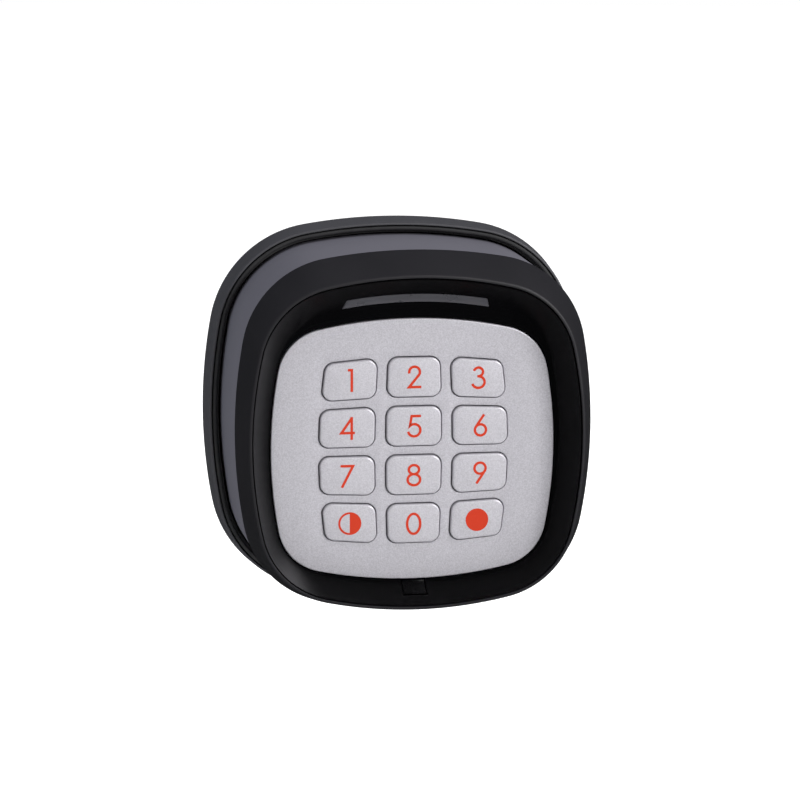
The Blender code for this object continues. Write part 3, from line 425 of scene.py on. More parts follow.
SEAL_OUTER = RIM_INNER.inset(FIT)
SEAL_INNER = SEAL_OUTER.inset(SEAL_BEAD)
WAIST_REAR = SEAL_INNER.inset(SHADOW_GROOVE)
foot_inner = WAIST_REAR.inset(-FIT)
seal_base = LEDGE_DEPTH + FIT
mesh = bmesh.new()
loft(
    mesh,
    (
        (SEAL_OUTER, seal_base, 0.0),
        (SEAL_OUTER, RIM_DEPTH, 0.48),
        (SEAL_INNER, RIM_DEPTH, 0.48),
        (SEAL_INNER, seal_base + SEAL_FOOT_HEIGHT, 0.0),
        (foot_inner, seal_base + SEAL_FOOT_HEIGHT, 0.1),
        (foot_inner, seal_base, 0.0),
    ),
)
seal = as_object("seal_bead", mesh)
shade(seal, seal_finish)
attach(seal, "housing")
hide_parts("plate_seal")


# ------------------------------------------------------------------ body shell
# The grey waist: one ABS moulding with a satin lacquer, open to the front. A ledge near the wall
# takes four screws into the plate, and two posts carry the bezel's screws.

WAIST_DRAFT = 1.3
WAIST_WALL = 2.0
SHELL_FLOOR_DEPTH = 9.0
SHELL_FLOOR = 2.0
SHELL_OPENING = Outline(25.0, 25.0, 90.0, 90.0, 8.0, 0.0)
SCREW_HOLE_RADIUS = 1.75
BEZEL_SCREW_X = 20.0
BEZEL_POST_RADIUS = 3.5
BEZEL_POST_IN_WALL = 0.5
BEZEL_BORE_RADIUS = 2.5
BEZEL_SEAT = 4.0
BEZEL_SHANK_RADIUS = 1.5

waist_finish = Finish("waist_grey", {"Metallic": 0.25, "Specular IOR Level": 0.5})
flake = waist_finish.noise(0.18, 2.0)
wash = waist_finish.noise(18.0)
waist_finish.feed("Base Color", waist_finish.mixed(flake, (0.125, 0.122, 0.150), (0.190, 0.186, 0.222)))
waist_finish.feed("Roughness", 0.36 + 0.08 * flake + 0.06 * wash)
waist_finish.bump(waist_finish.noise(0.6), 0.01, 0.35)

shell_extent = span("body_shell")
SHELL_REAR = shell_extent.rear
SHELL_FRONT = shell_extent.front
SHELL_FLOOR_FRONT = SHELL_FLOOR_DEPTH + SHELL_FLOOR
WAIST_FRONT = WAIST_REAR.inset(WAIST_DRAFT)


def waist_at(depth):
    return WAIST_REAR.blend(WAIST_FRONT, (depth - SHELL_REAR) / (SHELL_FRONT - SHELL_REAR))


mesh = bmesh.new()
loft(
    mesh,
    (
        (WAIST_REAR, SHELL_REAR, 0.2),
        (WAIST_FRONT, SHELL_FRONT, 0.25),
        (WAIST_FRONT.inset(WAIST_WALL), SHELL_FRONT, 0.2),
        (waist_at(SHELL_FLOOR_FRONT).inset(WAIST_WALL), SHELL_FLOOR_FRONT, 0.8),
        (SHELL_OPENING, SHELL_FLOOR_FRONT, 0.3),
        (SHELL_OPENING, SHELL_FLOOR_DEPTH, 0.3),
        (waist_at(SHELL_FLOOR_DEPTH).inset(WAIST_WALL), SHELL_FLOOR_DEPTH, 0.0),
        (WAIST_REAR.inset(WAIST_WALL), SHELL_REAR, 0.2),
    ),
)
shell = as_object("waist_shell", mesh)
post_z = WAIST_FRONT.inset(WAIST_WALL).top_at(BEZEL_SCREW_X) - BEZEL_POST_RADIUS + BEZEL_POST_IN_WALL
middle = SHELL_FLOOR_DEPTH + SHELL_FLOOR / 2
posts = bmesh.new()
bores = bmesh.new()
for x in (-BEZEL_SCREW_X, BEZEL_SCREW_X):
    turned(posts, x, post_z, ((BEZEL_POST_RADIUS, middle), (BEZEL_POST_RADIUS, SHELL_FRONT)))
    steps = (
        (BEZEL_BORE_RADIUS, SHELL_FLOOR_DEPTH - OVERSHOOT),
        (BEZEL_BORE_RADIUS, SHELL_FRONT - BEZEL_SEAT),
        (BEZEL_SHANK_RADIUS, SHELL_FRONT - BEZEL_SEAT),
        (BEZEL_SHANK_RADIUS, SHELL_FRONT + OVERSHOOT),
    )
    turned(bores, x, post_z, steps)
for x, z in SHELL_SCREW_PLACES:
    rear = SHELL_FLOOR_DEPTH - OVERSHOOT
    turned(bores, x, z, ((SCREW_HOLE_RADIUS, rear), (SCREW_HOLE_RADIUS, SHELL_FLOOR_FRONT + OVERSHOOT)))
combine(shell, posts, "UNION")
combine(shell, bores, "DIFFERENCE")
shade(shell, waist_finish)
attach(shell, "housing")
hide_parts("body_shell")


# ------------------------------------------------------------------ bezel
# The matt black frame round the front. Its side slopes in towards the person, most at the top, and
# ends in a narrow edge that the gloss ring sits inside.

BEZEL_OVERHANG = 0.4
CREASE_SIDE = 3.0
CREASE_TOP = 5.8
CREASE_BOTTOM = 0.9
CREASE_RADII = (103.0, 105.0, 21.8)
CREASE_ROUND = 0.4
CREASE_LAND = 0.3
RING_THICK = 1.9
BEZEL_LEDGE_SHARE = 0.72
DISH_DEPTH = 8.7
DISH_CURVE = 1.3
RING_SIDE = 6.2
RING_TOP = 11.7
RING_BOTTOM = 5.9
PANEL_RADII = (109.0, 112.5, 13.0)
LUG_WIDTH = 10.0
LUG_THICK = 1.2
LUG_LENGTH = 3.0
LUG_ROOT = 0.8
LUG_Z = -5.0
BEZEL_SCREW_BITE = 3.0

bezel_finish = Finish("bezel_black", {"Specular IOR Level": 0.3})
grain = bezel_finish.noise(0.3, 3.0)
cloud = bezel_finish.noise(16.0)
bezel_finish.feed("Base Color", bezel_finish.mixed(cloud, (0.0100, 0.0098, 0.0120), (0.0150, 0.0146, 0.0175)))
bezel_finish.feed("Roughness", 0.40 + 0.12 * grain + 0.05 * cloud)
bezel_finish.bump(grain, 0.03, 0.4)

BEZEL_BASE = WAIST_FRONT.inset(-BEZEL_OVERHANG)
BEZEL_REAR = SHELL_FRONT + FIT
CREASE_DEPTH = span("bezel").front


def tapered(outline, side, top, bottom, radii):
    half_h = outline.half_h - (top + bottom) / 2
    return Outline(outline.half_w - side, half_h, *radii, outline.centre_z - (top - bottom) / 2)


CREASE = tapered(BEZEL_BASE, CREASE_SIDE, CREASE_TOP, CREASE_BOTTOM, CREASE_RADII)
BEZEL_INNER = CREASE.inset(CREASE_ROUND + CREASE_LAND)
RING_OUTER = BEZEL_INNER.inset(FIT)
PANEL = tapered(CREASE, RING_SIDE, RING_TOP, RING_BOTTOM, PANEL_RADII)
RING_INNER = PANEL.inset(-FIT)
RING_DEPTH = CREASE_DEPTH - FIT
PANEL_FACE = CREASE_DEPTH - DISH_DEPTH


def dish_outline(share):
    """Outline of the ring's face: 0 is beside the key panel, 1 beside the bezel."""
    return RING_INNER.blend(RING_OUTER, share)


def dish_depth(share):
    return PANEL_FACE + (RING_DEPTH - PANEL_FACE) * share**DISH_CURVE


def box(mesh, low, high):
    made = bmesh.ops.create_cube(mesh, size=1.0)["verts"]
    size = Vector([b - a for a, b in zip(low, high)]) * MM
    centre = point(*[(a + b) / 2 for a, b in zip(low, high)])
    bmesh.ops.transform(mesh, matrix=Matrix.Translation(centre) @ Matrix.Diagonal(size).to_4x4(), verts=made)


behind_ring = RING_THICK + FIT
ledge = dish_outline(BEZEL_LEDGE_SHARE)
half_share = (1 + BEZEL_LEDGE_SHARE) / 2
mesh = bmesh.new()
loft(
    mesh,
    (
        (BEZEL_BASE, BEZEL_REAR, 0.3),
        (CREASE, CREASE_DEPTH, CREASE_ROUND),
        (BEZEL_INNER, CREASE_DEPTH, 0.12),
        (BEZEL_INNER, dish_depth(1.0) - behind_ring, 0.0),
        (dish_outline(half_share), dish_depth(half_share) - behind_ring, 0.0),
        (ledge, dish_depth(BEZEL_LEDGE_SHARE) - behind_ring, 0.2),
        (ledge, BEZEL_REAR, 0.2),
    ),
)
bezel = as_object("bezel_frame", mesh)
lugs = bmesh.new()
wall = WAIST_FRONT.inset(WAIST_WALL + FIT)
lug_z = abs(LUG_Z) + LUG_WIDTH / 2
side_x = wall.half_w - wall.side_r + math.sqrt(wall.side_r**2 - lug_z**2)
for side in (-1, 1):
    edges = sorted((side * side_x, side * (side_x - LUG_THICK)))
    low = (edges[0], BEZEL_REAR - LUG_LENGTH, LUG_Z - LUG_WIDTH / 2)
    box(lugs, low, (edges[1], BEZEL_REAR + LUG_ROOT, LUG_Z + LUG_WIDTH / 2))
combine(bezel, lugs, "UNION")
holes = bmesh.new()
hole_end = BEZEL_REAR + BEZEL_SCREW_BITE + FIT
for x in (-BEZEL_SCREW_X, BEZEL_SCREW_X):
    steps = ((BEZEL_SHANK_RADIUS, BEZEL_REAR - OVERSHOOT), (BEZEL_SHANK_RADIUS, hole_end))
    turned(holes, x, post_z, steps)
combine(bezel, holes, "DIFFERENCE")
shade(bezel, bezel_finish)
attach(bezel, "housing")
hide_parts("bezel")


# ------------------------------------------------------------------ face ring
# A polished black ABS ring that dishes in from the bezel to the key panel. Its upper part has the
# indicator's opening, and its lower part a notch for the release catch.

DISH_STEPS = 20
WINDOW_HALF_LENGTH = 18.4
WINDOW_SHARES = (0.40, 0.61)
WINDOW_END_SLANT = 0.8
WINDOW_STEPS = 48
WINDOW_REACH = 2.0
LENS_GAP = 0.12
CATCH_HALF_WIDTH = 2.8
CATCH_SHARE = 0.58
CATCH_GAP = 0.3

gloss_finish = Finish("gloss_black", {"Specular IOR Level": 0.05, "Coat Roughness": 0.04})
smudge = gloss_finish.noise(9.0, 4.0)
polish = gloss_finish.mixed(smudge, (0.0012, 0.0012, 0.0014), (0.0019, 0.0019, 0.0022))
gloss_finish.feed("Base Color", polish)
gloss_finish.feed("Roughness", 0.10 + 0.10 * smudge)
gloss_finish.bump(gloss_finish.noise(4.0), 0.004, 0.25)


def window_block(mesh, margin, front, back):
    """The arc-shaped block of the indicator's opening, grown by a margin on its four sides."""
    low, high = WINDOW_SHARES
    columns = []
    for i in range(WINDOW_STEPS + 1):
        across = 2 * i / WINDOW_STEPS - 1
        fronts = []
        backs = []
        for share, grow, slant in ((low, -margin, 0.0), (high, margin, WINDOW_END_SLANT)):
            x = across * (WINDOW_HALF_LENGTH + margin - slant)
            z = dish_outline(share).top_at(x) + grow
            fronts.append(point(x, dish_depth(share) + front, z))
            backs.append(point(x, dish_depth(share) - back, z))
        columns.append([mesh.verts.new(corner) for corner in (*fronts, *reversed(backs))])
    for first, second in zip(columns, columns[1:]):
        bridge(mesh, first, second)
    mesh.faces.new(columns[0])
    mesh.faces.new(columns[-1])


corners = []
for step in range(DISH_STEPS + 1):
    share = 1 - step / DISH_STEPS
    corners.append((dish_outline(share), dish_depth(share), 0.15 if step in (0, DISH_STEPS) else 0.0))
for outline, depth, _ in reversed(corners[:]):
    corners.append((outline, depth - RING_THICK, 0.0))
mesh = bmesh.new()
loft(mesh, corners)
ring = as_object("gloss_ring", mesh)
holes = bmesh.new()
window_block(holes, LENS_GAP, WINDOW_REACH, RING_THICK + WINDOW_REACH)
outline = dish_outline(CATCH_SHARE)
catch_bottom = outline.centre_z - outline.half_h
half = CATCH_HALF_WIDTH + CATCH_GAP
notch_top = RING_INNER.centre_z - RING_INNER.half_h + OVERSHOOT
rear = PANEL_FACE - RING_THICK - OVERSHOOT
box(holes, (-half, rear, catch_bottom - CATCH_GAP), (half, CREASE_DEPTH + OVERSHOOT, notch_top))
combine(ring, holes, "DIFFERENCE")
shade(ring, gloss_finish)
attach(ring, "housing")
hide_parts("face_ring")


# ------------------------------------------------------------------ indicator window
# A smoked polycarbonate strip, clipped in behind the ring and flush with it. A clear guide moulded
# on its back reaches down to the three status LEDs at the board's upper edge.

LENS_ROUND = 0.12
GUIDE_WIDTH = 12.0
GUIDE_THICK = 1.8
GUIDE_ROOT = 0.8
GUIDE_BEND = 1.0
GUIDE_PAST_LED = 0.4
PANEL_THICK = 2.0
SKIRT_INSET = 1.0

lens_finish = Finish("smoked_lens", {"Specular IOR Level": 0.5, "Coat Roughness": 0.2})
haze = lens_finish.noise(5.0, 3.0)
lens_finish.feed("Base Color", lens_finish.mixed(haze, (0.034, 0.034, 0.039), (0.052, 0.052, 0.059)))
lens_finish.feed("Roughness", 0.22 + 0.14 * haze)
lens_finish.bump(lens_finish.noise(0.4), 0.01, 0.3)


def bevelled(obj, width, segments=2, angle=40.0):
    """Rounds every edge that turns by more than the angle, and keeps the result as the mesh."""
    step = obj.modifiers.new("step", "BEVEL")
    step.width = width * MM
    step.segments = segments
    step.limit_method = "ANGLE"
    step.angle_limit = math.radians(angle)
    step.use_clamp_overlap = True
    graph = bpy.context.evaluated_depsgraph_get()
    done = bpy.data.meshes.new_from_object(obj.evaluated_get(graph))
    before = obj.data
    obj.modifiers.clear()
    obj.data = done
    bpy.data.meshes.remove(before)


def prism(mesh, profile, low_x, high_x):
    """A (z, depth) profile drawn out along X."""
    ends = [[mesh.verts.new(point(x, depth, z)) for z, depth in profile] for x in (low_x, high_x)]
    bridge(mesh, *ends)
    for end in ends:
        mesh.faces.new(end)


mesh = bmesh.new()
window_block(mesh, 0.0, 0.0, RING_THICK)
lens = as_object("indicator_window", mesh)
bevelled(lens, LENS_ROUND)
panel_back = PANEL_FACE - PANEL_THICK
led_low, led_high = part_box("indicator_led_2")
led_front = -led_high.y / MM
led_rear = -led_low.y / MM
component_front = max(led_front, led_rear)
led_depth = min(led_front, led_rear) - GUIDE_PAST_LED
share = sum(WINDOW_SHARES) / 2
z = dish_outline(share).top_at(GUIDE_WIDTH / 2)
elbow = z - GUIDE_THICK
skirt_top = PANEL.centre_z + PANEL.half_h - SKIRT_INSET + FIT
bend = panel_back - FIT - GUIDE_BEND
profile = (
    (z + GUIDE_THICK / 2, dish_depth(share) - RING_THICK + GUIDE_ROOT),
    (z - GUIDE_THICK / 2, dish_depth(share) - RING_THICK + GUIDE_ROOT),
    (elbow, bend),
    (elbow - GUIDE_THICK, component_front),
    (skirt_top, component_front),
    (skirt_top, led_depth),
    (elbow, led_depth),
    (z + GUIDE_THICK / 2, bend - GUIDE_BEND),
)
guide = bmesh.new()
prism(guide, profile, -GUIDE_WIDTH / 2, GUIDE_WIDTH / 2)
combine(lens, guide, "UNION")
shade(lens, lens_finish)
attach(lens, "housing")
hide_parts("indicator_lens")


# ------------------------------------------------------------------ key panel
# The front module's face: an ABS plate in silver lacquer with a fine metallic flake, moulded with a
# skirt that holds the board, four screw bosses, and two hooks that catch behind the ring's top.

PANEL_ROUND = 0.4
SKIRT_WALL = 1.4
HOLE_ROUND = 0.2
MODULE_SCREW_PLACES = ((-30.6, 14.0), (30.6, 14.0), (-30.6, -18.0), (30.6, -18.0))
MODULE_BOSS_RADIUS = 2.5
MODULE_HOLE_RADIUS = 1.3
MODULE_HOLE_DEEP = 4.3
HOOK_X = 14.0
HOOK_WIDTH = 7.0
HOOK_THICK = 1.2
HOOK_REACH = 3.0
KEY_WIDTH = 13.9
KEY_HEIGHT = 9.9
KEY_CORNER = 2.4
KEY_PITCH_X = 16.98
KEY_PITCH_Z = 12.5
KEY_GRID_BELOW_PANEL_CENTRE = 0.15
KEY_BOW_X = 0.0192
KEY_BOW_Z = 0.03
KEY_CORNER_STEPS = 10
KEY_NAMES = (
    ("key_1", "key_2", "key_3"),
    ("key_4", "key_5", "key_6"),
    ("key_7", "key_8", "key_9"),
    ("key_part_arm", "key_0", "key_full_arm"),
)


def silver(name, dark, light):
    """Silver lacquer: bright flakes with a very fine orange peel."""
    made = Finish(name, {"Metallic": 0.35, "Specular IOR Level": 0.4})
    flakes = made.noise(0.30, 3.0)
    drift = made.noise(26.0)
    made.feed("Base Color", made.mixed(made.steps(flakes, 0.30, 0.70), dark, light))
    made.feed("Roughness", 0.28 + 0.14 * flakes + 0.05 * drift)
    made.bump(flakes, 0.008, 0.5)
    return made


panel_finish = silver("silver_paint", (0.415, 0.405, 0.440), (0.560, 0.550, 0.592))


def grid_place(column, row):
    """Where the bowed key grid puts a column and a row, which may be fractions."""
    x = column * KEY_PITCH_X * (1 - KEY_BOW_X * row**2)
    z = row * KEY_PITCH_Z * (1 - KEY_BOW_Z * column**2)
    return x, z + PANEL.centre_z - KEY_GRID_BELOW_PANEL_CENTRE


def key_outline(column, row, grow):
    """A four-sided key that follows the bowed grid, its corners rounded, grown by a margin."""
    half_column = (KEY_WIDTH / 2 + grow) / KEY_PITCH_X
    half_row = (KEY_HEIGHT / 2 + grow) / KEY_PITCH_Z
    signs = ((1, -1), (1, 1), (-1, 1), (-1, -1))
    corners = [Vector(grid_place(column + a * half_column, row + b * half_row)) for a, b in signs]
    radius = KEY_CORNER + grow
    found = []
    for i, corner in enumerate(corners):
        before = (corners[i - 1] - corner).normalized()
        after = (corners[(i + 1) % 4] - corner).normalized()
        half_angle = before.angle(after) / 2
        centre = corner + (before + after).normalized() * radius / math.sin(half_angle)
        start = corner + before * radius / math.tan(half_angle) - centre
        turn = math.pi - 2 * half_angle
        for step in range(KEY_CORNER_STEPS + 1):
            place = centre + Matrix.Rotation(turn * step / KEY_CORNER_STEPS, 2) @ start
            found.append((place.x, place.y))
    return found


def key_places():
    for row, names in enumerate(KEY_NAMES):
        for column, name in enumerate(names):
            yield name, column - 1, 1.5 - row


SKIRT_END = span("key_panel").rear
SKIRT_OUTER = PANEL.inset(SKIRT_INSET)
SKIRT_INNER = SKIRT_OUTER.inset(SKIRT_WALL)
mesh = bmesh.new()
loft(
    mesh,
    (
        (PANEL.inset(2.0), PANEL_FACE, 0.0),
        (PANEL, PANEL_FACE, PANEL_ROUND),
        (PANEL, panel_back, 0.2),
        (SKIRT_OUTER, panel_back, 0.0),
        (SKIRT_OUTER, SKIRT_END, 0.2),
        (SKIRT_INNER, SKIRT_END, 0.2),
        (SKIRT_INNER, panel_back, 0.0),
    ),
    closed=False,
)
panel = as_object("key_plate", mesh)
extras = bmesh.new()
for x, z in MODULE_SCREW_PLACES:
    root = panel_back + PANEL_THICK / 2
    turned(extras, x, z, ((MODULE_BOSS_RADIUS, root), (MODULE_BOSS_RADIUS, SKIRT_END)))
hook_front = panel_back - FIT
for x in (-HOOK_X, HOOK_X):
    outer_x = abs(x) + HOOK_WIDTH / 2
    low = (x - HOOK_WIDTH / 2, hook_front - HOOK_THICK, SKIRT_INNER.top_at(outer_x))
    box(extras, low, (x + HOOK_WIDTH / 2, hook_front, RING_INNER.top_at(x) + HOOK_REACH))
combine(panel, extras, "UNION")
holes = bmesh.new()
for _, column, row in key_places():
    sections = [(key_outline(column, row, FIT), panel_back - OVERSHOOT)]
    for step in range(ROUND_STEPS + 1):
        angle = math.pi / 2 * step / ROUND_STEPS
        grow = FIT + HOLE_ROUND * (1 - math.cos(angle))
        sections.append((key_outline(column, row, grow), PANEL_FACE - HOLE_ROUND * (1 - math.sin(angle))))
    sections.append((key_outline(column, row, FIT + HOLE_ROUND), PANEL_FACE + OVERSHOOT))
    stack(holes, sections)
for x, z in MODULE_SCREW_PLACES:
    end = SKIRT_END + MODULE_HOLE_DEEP
    turned(holes, x, z, ((MODULE_HOLE_RADIUS, SKIRT_END - OVERSHOOT), (MODULE_HOLE_RADIUS, end)))
combine(panel, holes, "DIFFERENCE")
shade(panel, panel_finish)
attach(panel, "front_module")
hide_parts("key_panel")


# ------------------------------------------------------------------ keys
# Twelve ABS caps in the same silver lacquer, a shade lighter. Each has a rounded edge and a flange
# behind the panel that keeps it in, and it rests on a silicone dome.

KEY_ROUND = 0.45
KEY_FLANGE = 0.8
KEY_FLANGE_THICK = 0.8

key_finish = silver("silver_paint_keys", (0.435, 0.425, 0.460), (0.575, 0.565, 0.606))

for name, column, row in key_places():
    extent = span(name)
    flange_front = extent.rear + KEY_FLANGE_THICK
    flange = key_outline(column, row, KEY_FLANGE)
    sections = [
        (flange, extent.rear),
        (flange, flange_front),
        (key_outline(column, row, 0.0), flange_front),
    ]
    for step in range(ROUND_STEPS + 1):
        angle = math.pi / 2 * step / ROUND_STEPS
        flat = key_outline(column, row, KEY_ROUND * (math.cos(angle) - 1))
        sections.append((flat, extent.front - KEY_ROUND * (1 - math.sin(angle))))
    mesh = bmesh.new()
    stack(mesh, sections)
    cap = as_object(name + "_cap", mesh)
    shade(cap, key_finish)
    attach(cap, name)
    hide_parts(name)


# ------------------------------------------------------------------ key legends
# Pad-printed in one red-orange ink: thin upright digits of circles and straight strokes, a
# half-filled disc for part arming, and a filled disc for full arming.

LEGEND_HEIGHT = 5.15
LEGEND_STROKE = 0.64
LEGEND_RELIEF = 0.035
LEGEND_ROOT = 0.03
LEGEND_STEP = 8.0
DISC_RADIUS = 2.92
DISC_STROKE = 0.5

print_finish = Finish("key_print", {"Specular IOR Level": 0.15})
ink = print_finish.noise(0.5, 3.0)
print_finish.feed("Base Color", print_finish.mixed(ink, (0.395, 0.024, 0.006), (0.435, 0.030, 0.009)))
print_finish.feed("Roughness", 0.42 + 0.16 * ink)
print_finish.bump(ink, 0.006, 0.4)


def arc(x, z, radius_x, radius_z, start, end):
    count = max(2, math.ceil(abs(end - start) / LEGEND_STEP))
    angles = [math.radians(start + (end - start) * i / count) for i in range(count + 1)]
    return [(x + radius_x * math.cos(a), z + radius_z * math.sin(a)) for a in angles]


def ring_of(x, z, radius_x, radius_z):
    return arc(x, z, radius_x, radius_z, 0.0, 360.0)[:-1]


def bowl_with_stem(bowl_radius, top_x):
    """A round bowl and a straight stem that leaves its left side towards a point at the top."""
    top = Vector((top_x, LEGEND_HEIGHT + LEGEND_STROKE / 3))
    centre = Vector((0.0, bowl_radius))
    reach = top - centre
    angle = math.atan2(reach.y, reach.x) + math.acos(bowl_radius / reach.length)
    foot = centre + bowl_radius * Vector((math.cos(angle), math.sin(angle)))
    return [(ring_of(*centre, bowl_radius, bowl_radius), True), ([tuple(top), tuple(foot)], False)]


def upside_down(strokes):
    return [([(-x, LEGEND_HEIGHT - z) for x, z in line], closed) for line, closed in strokes]


top = LEGEND_HEIGHT
below = -LEGEND_STROKE / 2
six = bowl_with_stem(1.42, 0.9)
STROKES = {
    "key_1": [([(-0.55, top), (0.45, top), (0.45, below)], False)],
    "key_2": [(arc(0.0, top - 1.35, 1.35, 1.35, 195, -38) + [(-1.35, 0.0), (1.75, 0.0)], False)],
    "key_3": [
        (arc(0.0, top - 1.10, 1.15, 1.10, 165, -90) + [(-0.3, top - 2.2)], False),
        ([(-0.3, top - 2.2)] + arc(0.0, (top - 2.2) / 2, 1.58, (top - 2.2) / 2, 90, -165), False),
    ],
    "key_4": [
        ([(1.1, top), (-1.5, 1.42), (1.9, 1.42)], False),
        ([(1.1, top - below), (1.1, below)], False),
    ],
    "key_5": [([(1.7, top), (-0.66, top)] + arc(0.0, 1.55, 1.57, 1.55, 133, -168), False)],
    "key_6": six,
    "key_7": [([(-1.7, top), (1.45, top), (-1.35, below)], False)],
    "key_8": [(ring_of(0.0, 1.42, 1.6, 1.42), True), (ring_of(0.0, top - 1.155, 1.3, 1.155), True)],
    "key_9": upside_down(six),
    "key_0": [(ring_of(0.0, top / 2, 1.67, top / 2), True)],
}


def ribbon(mesh, line, closed, width, rear, front):
    """A flat stroke of even width along a line of (x, z) points, mitred at its corners."""
    line = [Vector(place) for place in line]
    count = len(line)
    sides = []
    for i, place in enumerate(line):
        before = line[i - 1] if closed or i else None
        after = line[(i + 1) % count] if closed or i < count - 1 else None
        ways = []
        if before is not None:
            ways.append((place - before).normalized())
        if after is not None:
            ways.append((after - place).normalized())
        way = sum(ways, Vector((0.0, 0.0))).normalized()
        normal = Vector((-way.y, way.x))
        reach = width / 2 / max(0.3, way.dot(ways[0]))
        sides.append((place + normal * reach, place - normal * reach))
    loops = []
    for left, right_side in sides:
        corners = ((left, front), (right_side, front), (right_side, rear), (left, rear))
        loops.append([mesh.verts.new(point(p.x, depth, p.y)) for p, depth in corners])
    for first, second in zip(loops, loops[1:]):
        bridge(mesh, first, second)
    if closed:
        bridge(mesh, loops[-1], loops[0])
    else:
        mesh.faces.new(loops[0])
        mesh.faces.new(loops[-1])


for name, column, row in key_places():
    x, z = grid_place(column, row)
    rear = span(name).front - LEGEND_ROOT
    front = span(name).front + LEGEND_RELIEF
    meshes = []
    if name in STROKES:
        for line, closed in STROKES[name]:
            mesh = bmesh.new()
            moved = [(x + a, z + b - LEGEND_HEIGHT / 2) for a, b in line]
            ribbon(mesh, moved, closed, LEGEND_STROKE, rear, front)
            meshes.append(mesh)
    elif name == "key_part_arm":
        inside = DISC_RADIUS - DISC_STROKE / 2
        half_disc = arc(x, z, inside, inside, 90, -90)
        mesh = bmesh.new()
        ribbon(mesh, ring_of(x, z, inside, inside), True, DISC_STROKE, rear, front)
        meshes.append(mesh)
        mesh = bmesh.new()
        stack(mesh, [(half_disc, rear), (half_disc, front)])
        meshes.append(mesh)
    else:
        mesh = bmesh.new()
        turned(mesh, x, z, ((DISC_RADIUS, rear), (DISC_RADIUS, front)))
        meshes.append(mesh)
    legend = as_object(name + "_legend", meshes[0])
    for mesh in meshes[1:]:
        combine(legend, mesh, "UNION")
    shade(legend, print_finish)
    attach(legend, name)


# ------------------------------------------------------------------ key mat, board and its parts
# Behind the keys lie a silicone mat with a carbon-pilled dome for each, and a glass-laminate board
# with the controller, radio, sounder, LEDs and tamper switch soldered to its back.

MAT_SHEET = 0.8
MAT_PAD_RADIUS = 3.6
MAT_PAD_FLARE = 0.5
MAT_HOLLOW_RADIUS = 2.4
MAT_PAD_SKIN = 0.8
MAT_ROUND = 0.2
MAT_SEAM = 0.01

def dress(node, finish):
    """Gives a piece that keeps its plain solid the finish of the real one."""
    obj = frame["nodes"][node]
    if not obj.material_slots:
        obj.data.materials.append(finish.material)
    obj.material_slots[0].link = "OBJECT"
    obj.material_slots[0].material = finish.material


mat_finish = Finish("mat_rubber", {"Specular IOR Level": 0.3, "Subsurface Weight": 0.1})
bloom = mat_finish.noise(4.0, 4.0)
mat_finish.feed("Base Color", mat_finish.mixed(bloom, (0.260, 0.260, 0.270), (0.340, 0.340, 0.350)))
mat_finish.feed("Roughness", 0.60 + 0.25 * bloom)
mat_finish.bump(mat_finish.noise(0.4), 0.01, 0.4)
INSIDE_SKIRT = SKIRT_INNER.inset(FIT)
extent = span("key_mat")
sheet_front = extent.rear + MAT_SHEET
mesh = bmesh.new()
loft(
    mesh,
    (
        (INSIDE_SKIRT.inset(MAT_PAD_RADIUS), sheet_front, 0.0),
        (INSIDE_SKIRT, sheet_front, MAT_ROUND),
        (INSIDE_SKIRT, extent.rear, MAT_ROUND),
        (INSIDE_SKIRT.inset(MAT_PAD_RADIUS), extent.rear, 0.0),
    ),
    closed=False,
)
sheet = as_object("mat_sheet", mesh)
holes = bmesh.new()
ends = (extent.rear - OVERSHOOT, sheet_front + OVERSHOOT)
for x, z in MODULE_SCREW_PLACES:
    turned(holes, x, z, [(MODULE_BOSS_RADIUS + FIT, depth) for depth in ends])
for _, column, row in key_places():
    turned(holes, *grid_place(column, row), [(MAT_HOLLOW_RADIUS, depth) for depth in ends])
combine(sheet, holes, "DIFFERENCE")
shade(sheet, mat_finish)
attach(sheet, "front_module")
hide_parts("key_mat")
for name, column, row in key_places():
    x, z = grid_place(column, row)
    foot = sheet_front + MAT_SEAM
    ceiling = extent.front - MAT_PAD_SKIN
    steps = (
        (MAT_HOLLOW_RADIUS - MAT_ROUND, ceiling),
        (MAT_HOLLOW_RADIUS, ceiling - MAT_ROUND),
        (MAT_HOLLOW_RADIUS, foot),
        (MAT_PAD_RADIUS + MAT_PAD_FLARE, foot),
        (MAT_PAD_RADIUS + MAT_ROUND, foot + MAT_PAD_FLARE),
        (MAT_PAD_RADIUS, extent.front - MAT_ROUND),
        (MAT_PAD_RADIUS - MAT_ROUND, extent.front),
    )
    mesh = bmesh.new()
    turned(mesh, x, z, steps)
    dome = as_object(name + "_dome", mesh)
    shade(dome, mat_finish)
    point(x, foot, z)
    point(x, extent.front, z)
    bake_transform(dome)

board_finish = Finish("board_green", {"Specular IOR Level": 0.5})
weave = board_finish.node(
    "ShaderNodeTexWave",
    {"wave_type": "BANDS", "bands_direction": "X"},
    {"Vector": board_finish.place, "Scale": 900.0, "Distortion": 2.0},
)
tracks = board_finish.node(
    "ShaderNodeTexBrick",
    {"offset": 0.5},
    {"Vector": board_finish.place, "Scale": 220.0, "Mortar Size": 0.06},
    "Fac",
)
copper_share = 0.55 * tracks + 0.10 * weave
laminate = board_finish.mixed(copper_share, (0.014, 0.105, 0.040), (0.045, 0.210, 0.085))
board_finish.feed("Base Color", laminate)
board_finish.feed("Roughness", 0.30 + 0.15 * tracks)
board_finish.bump(tracks, 0.02, 0.5)
dress("circuit_board", board_finish)
dress("radio_module", board_finish)

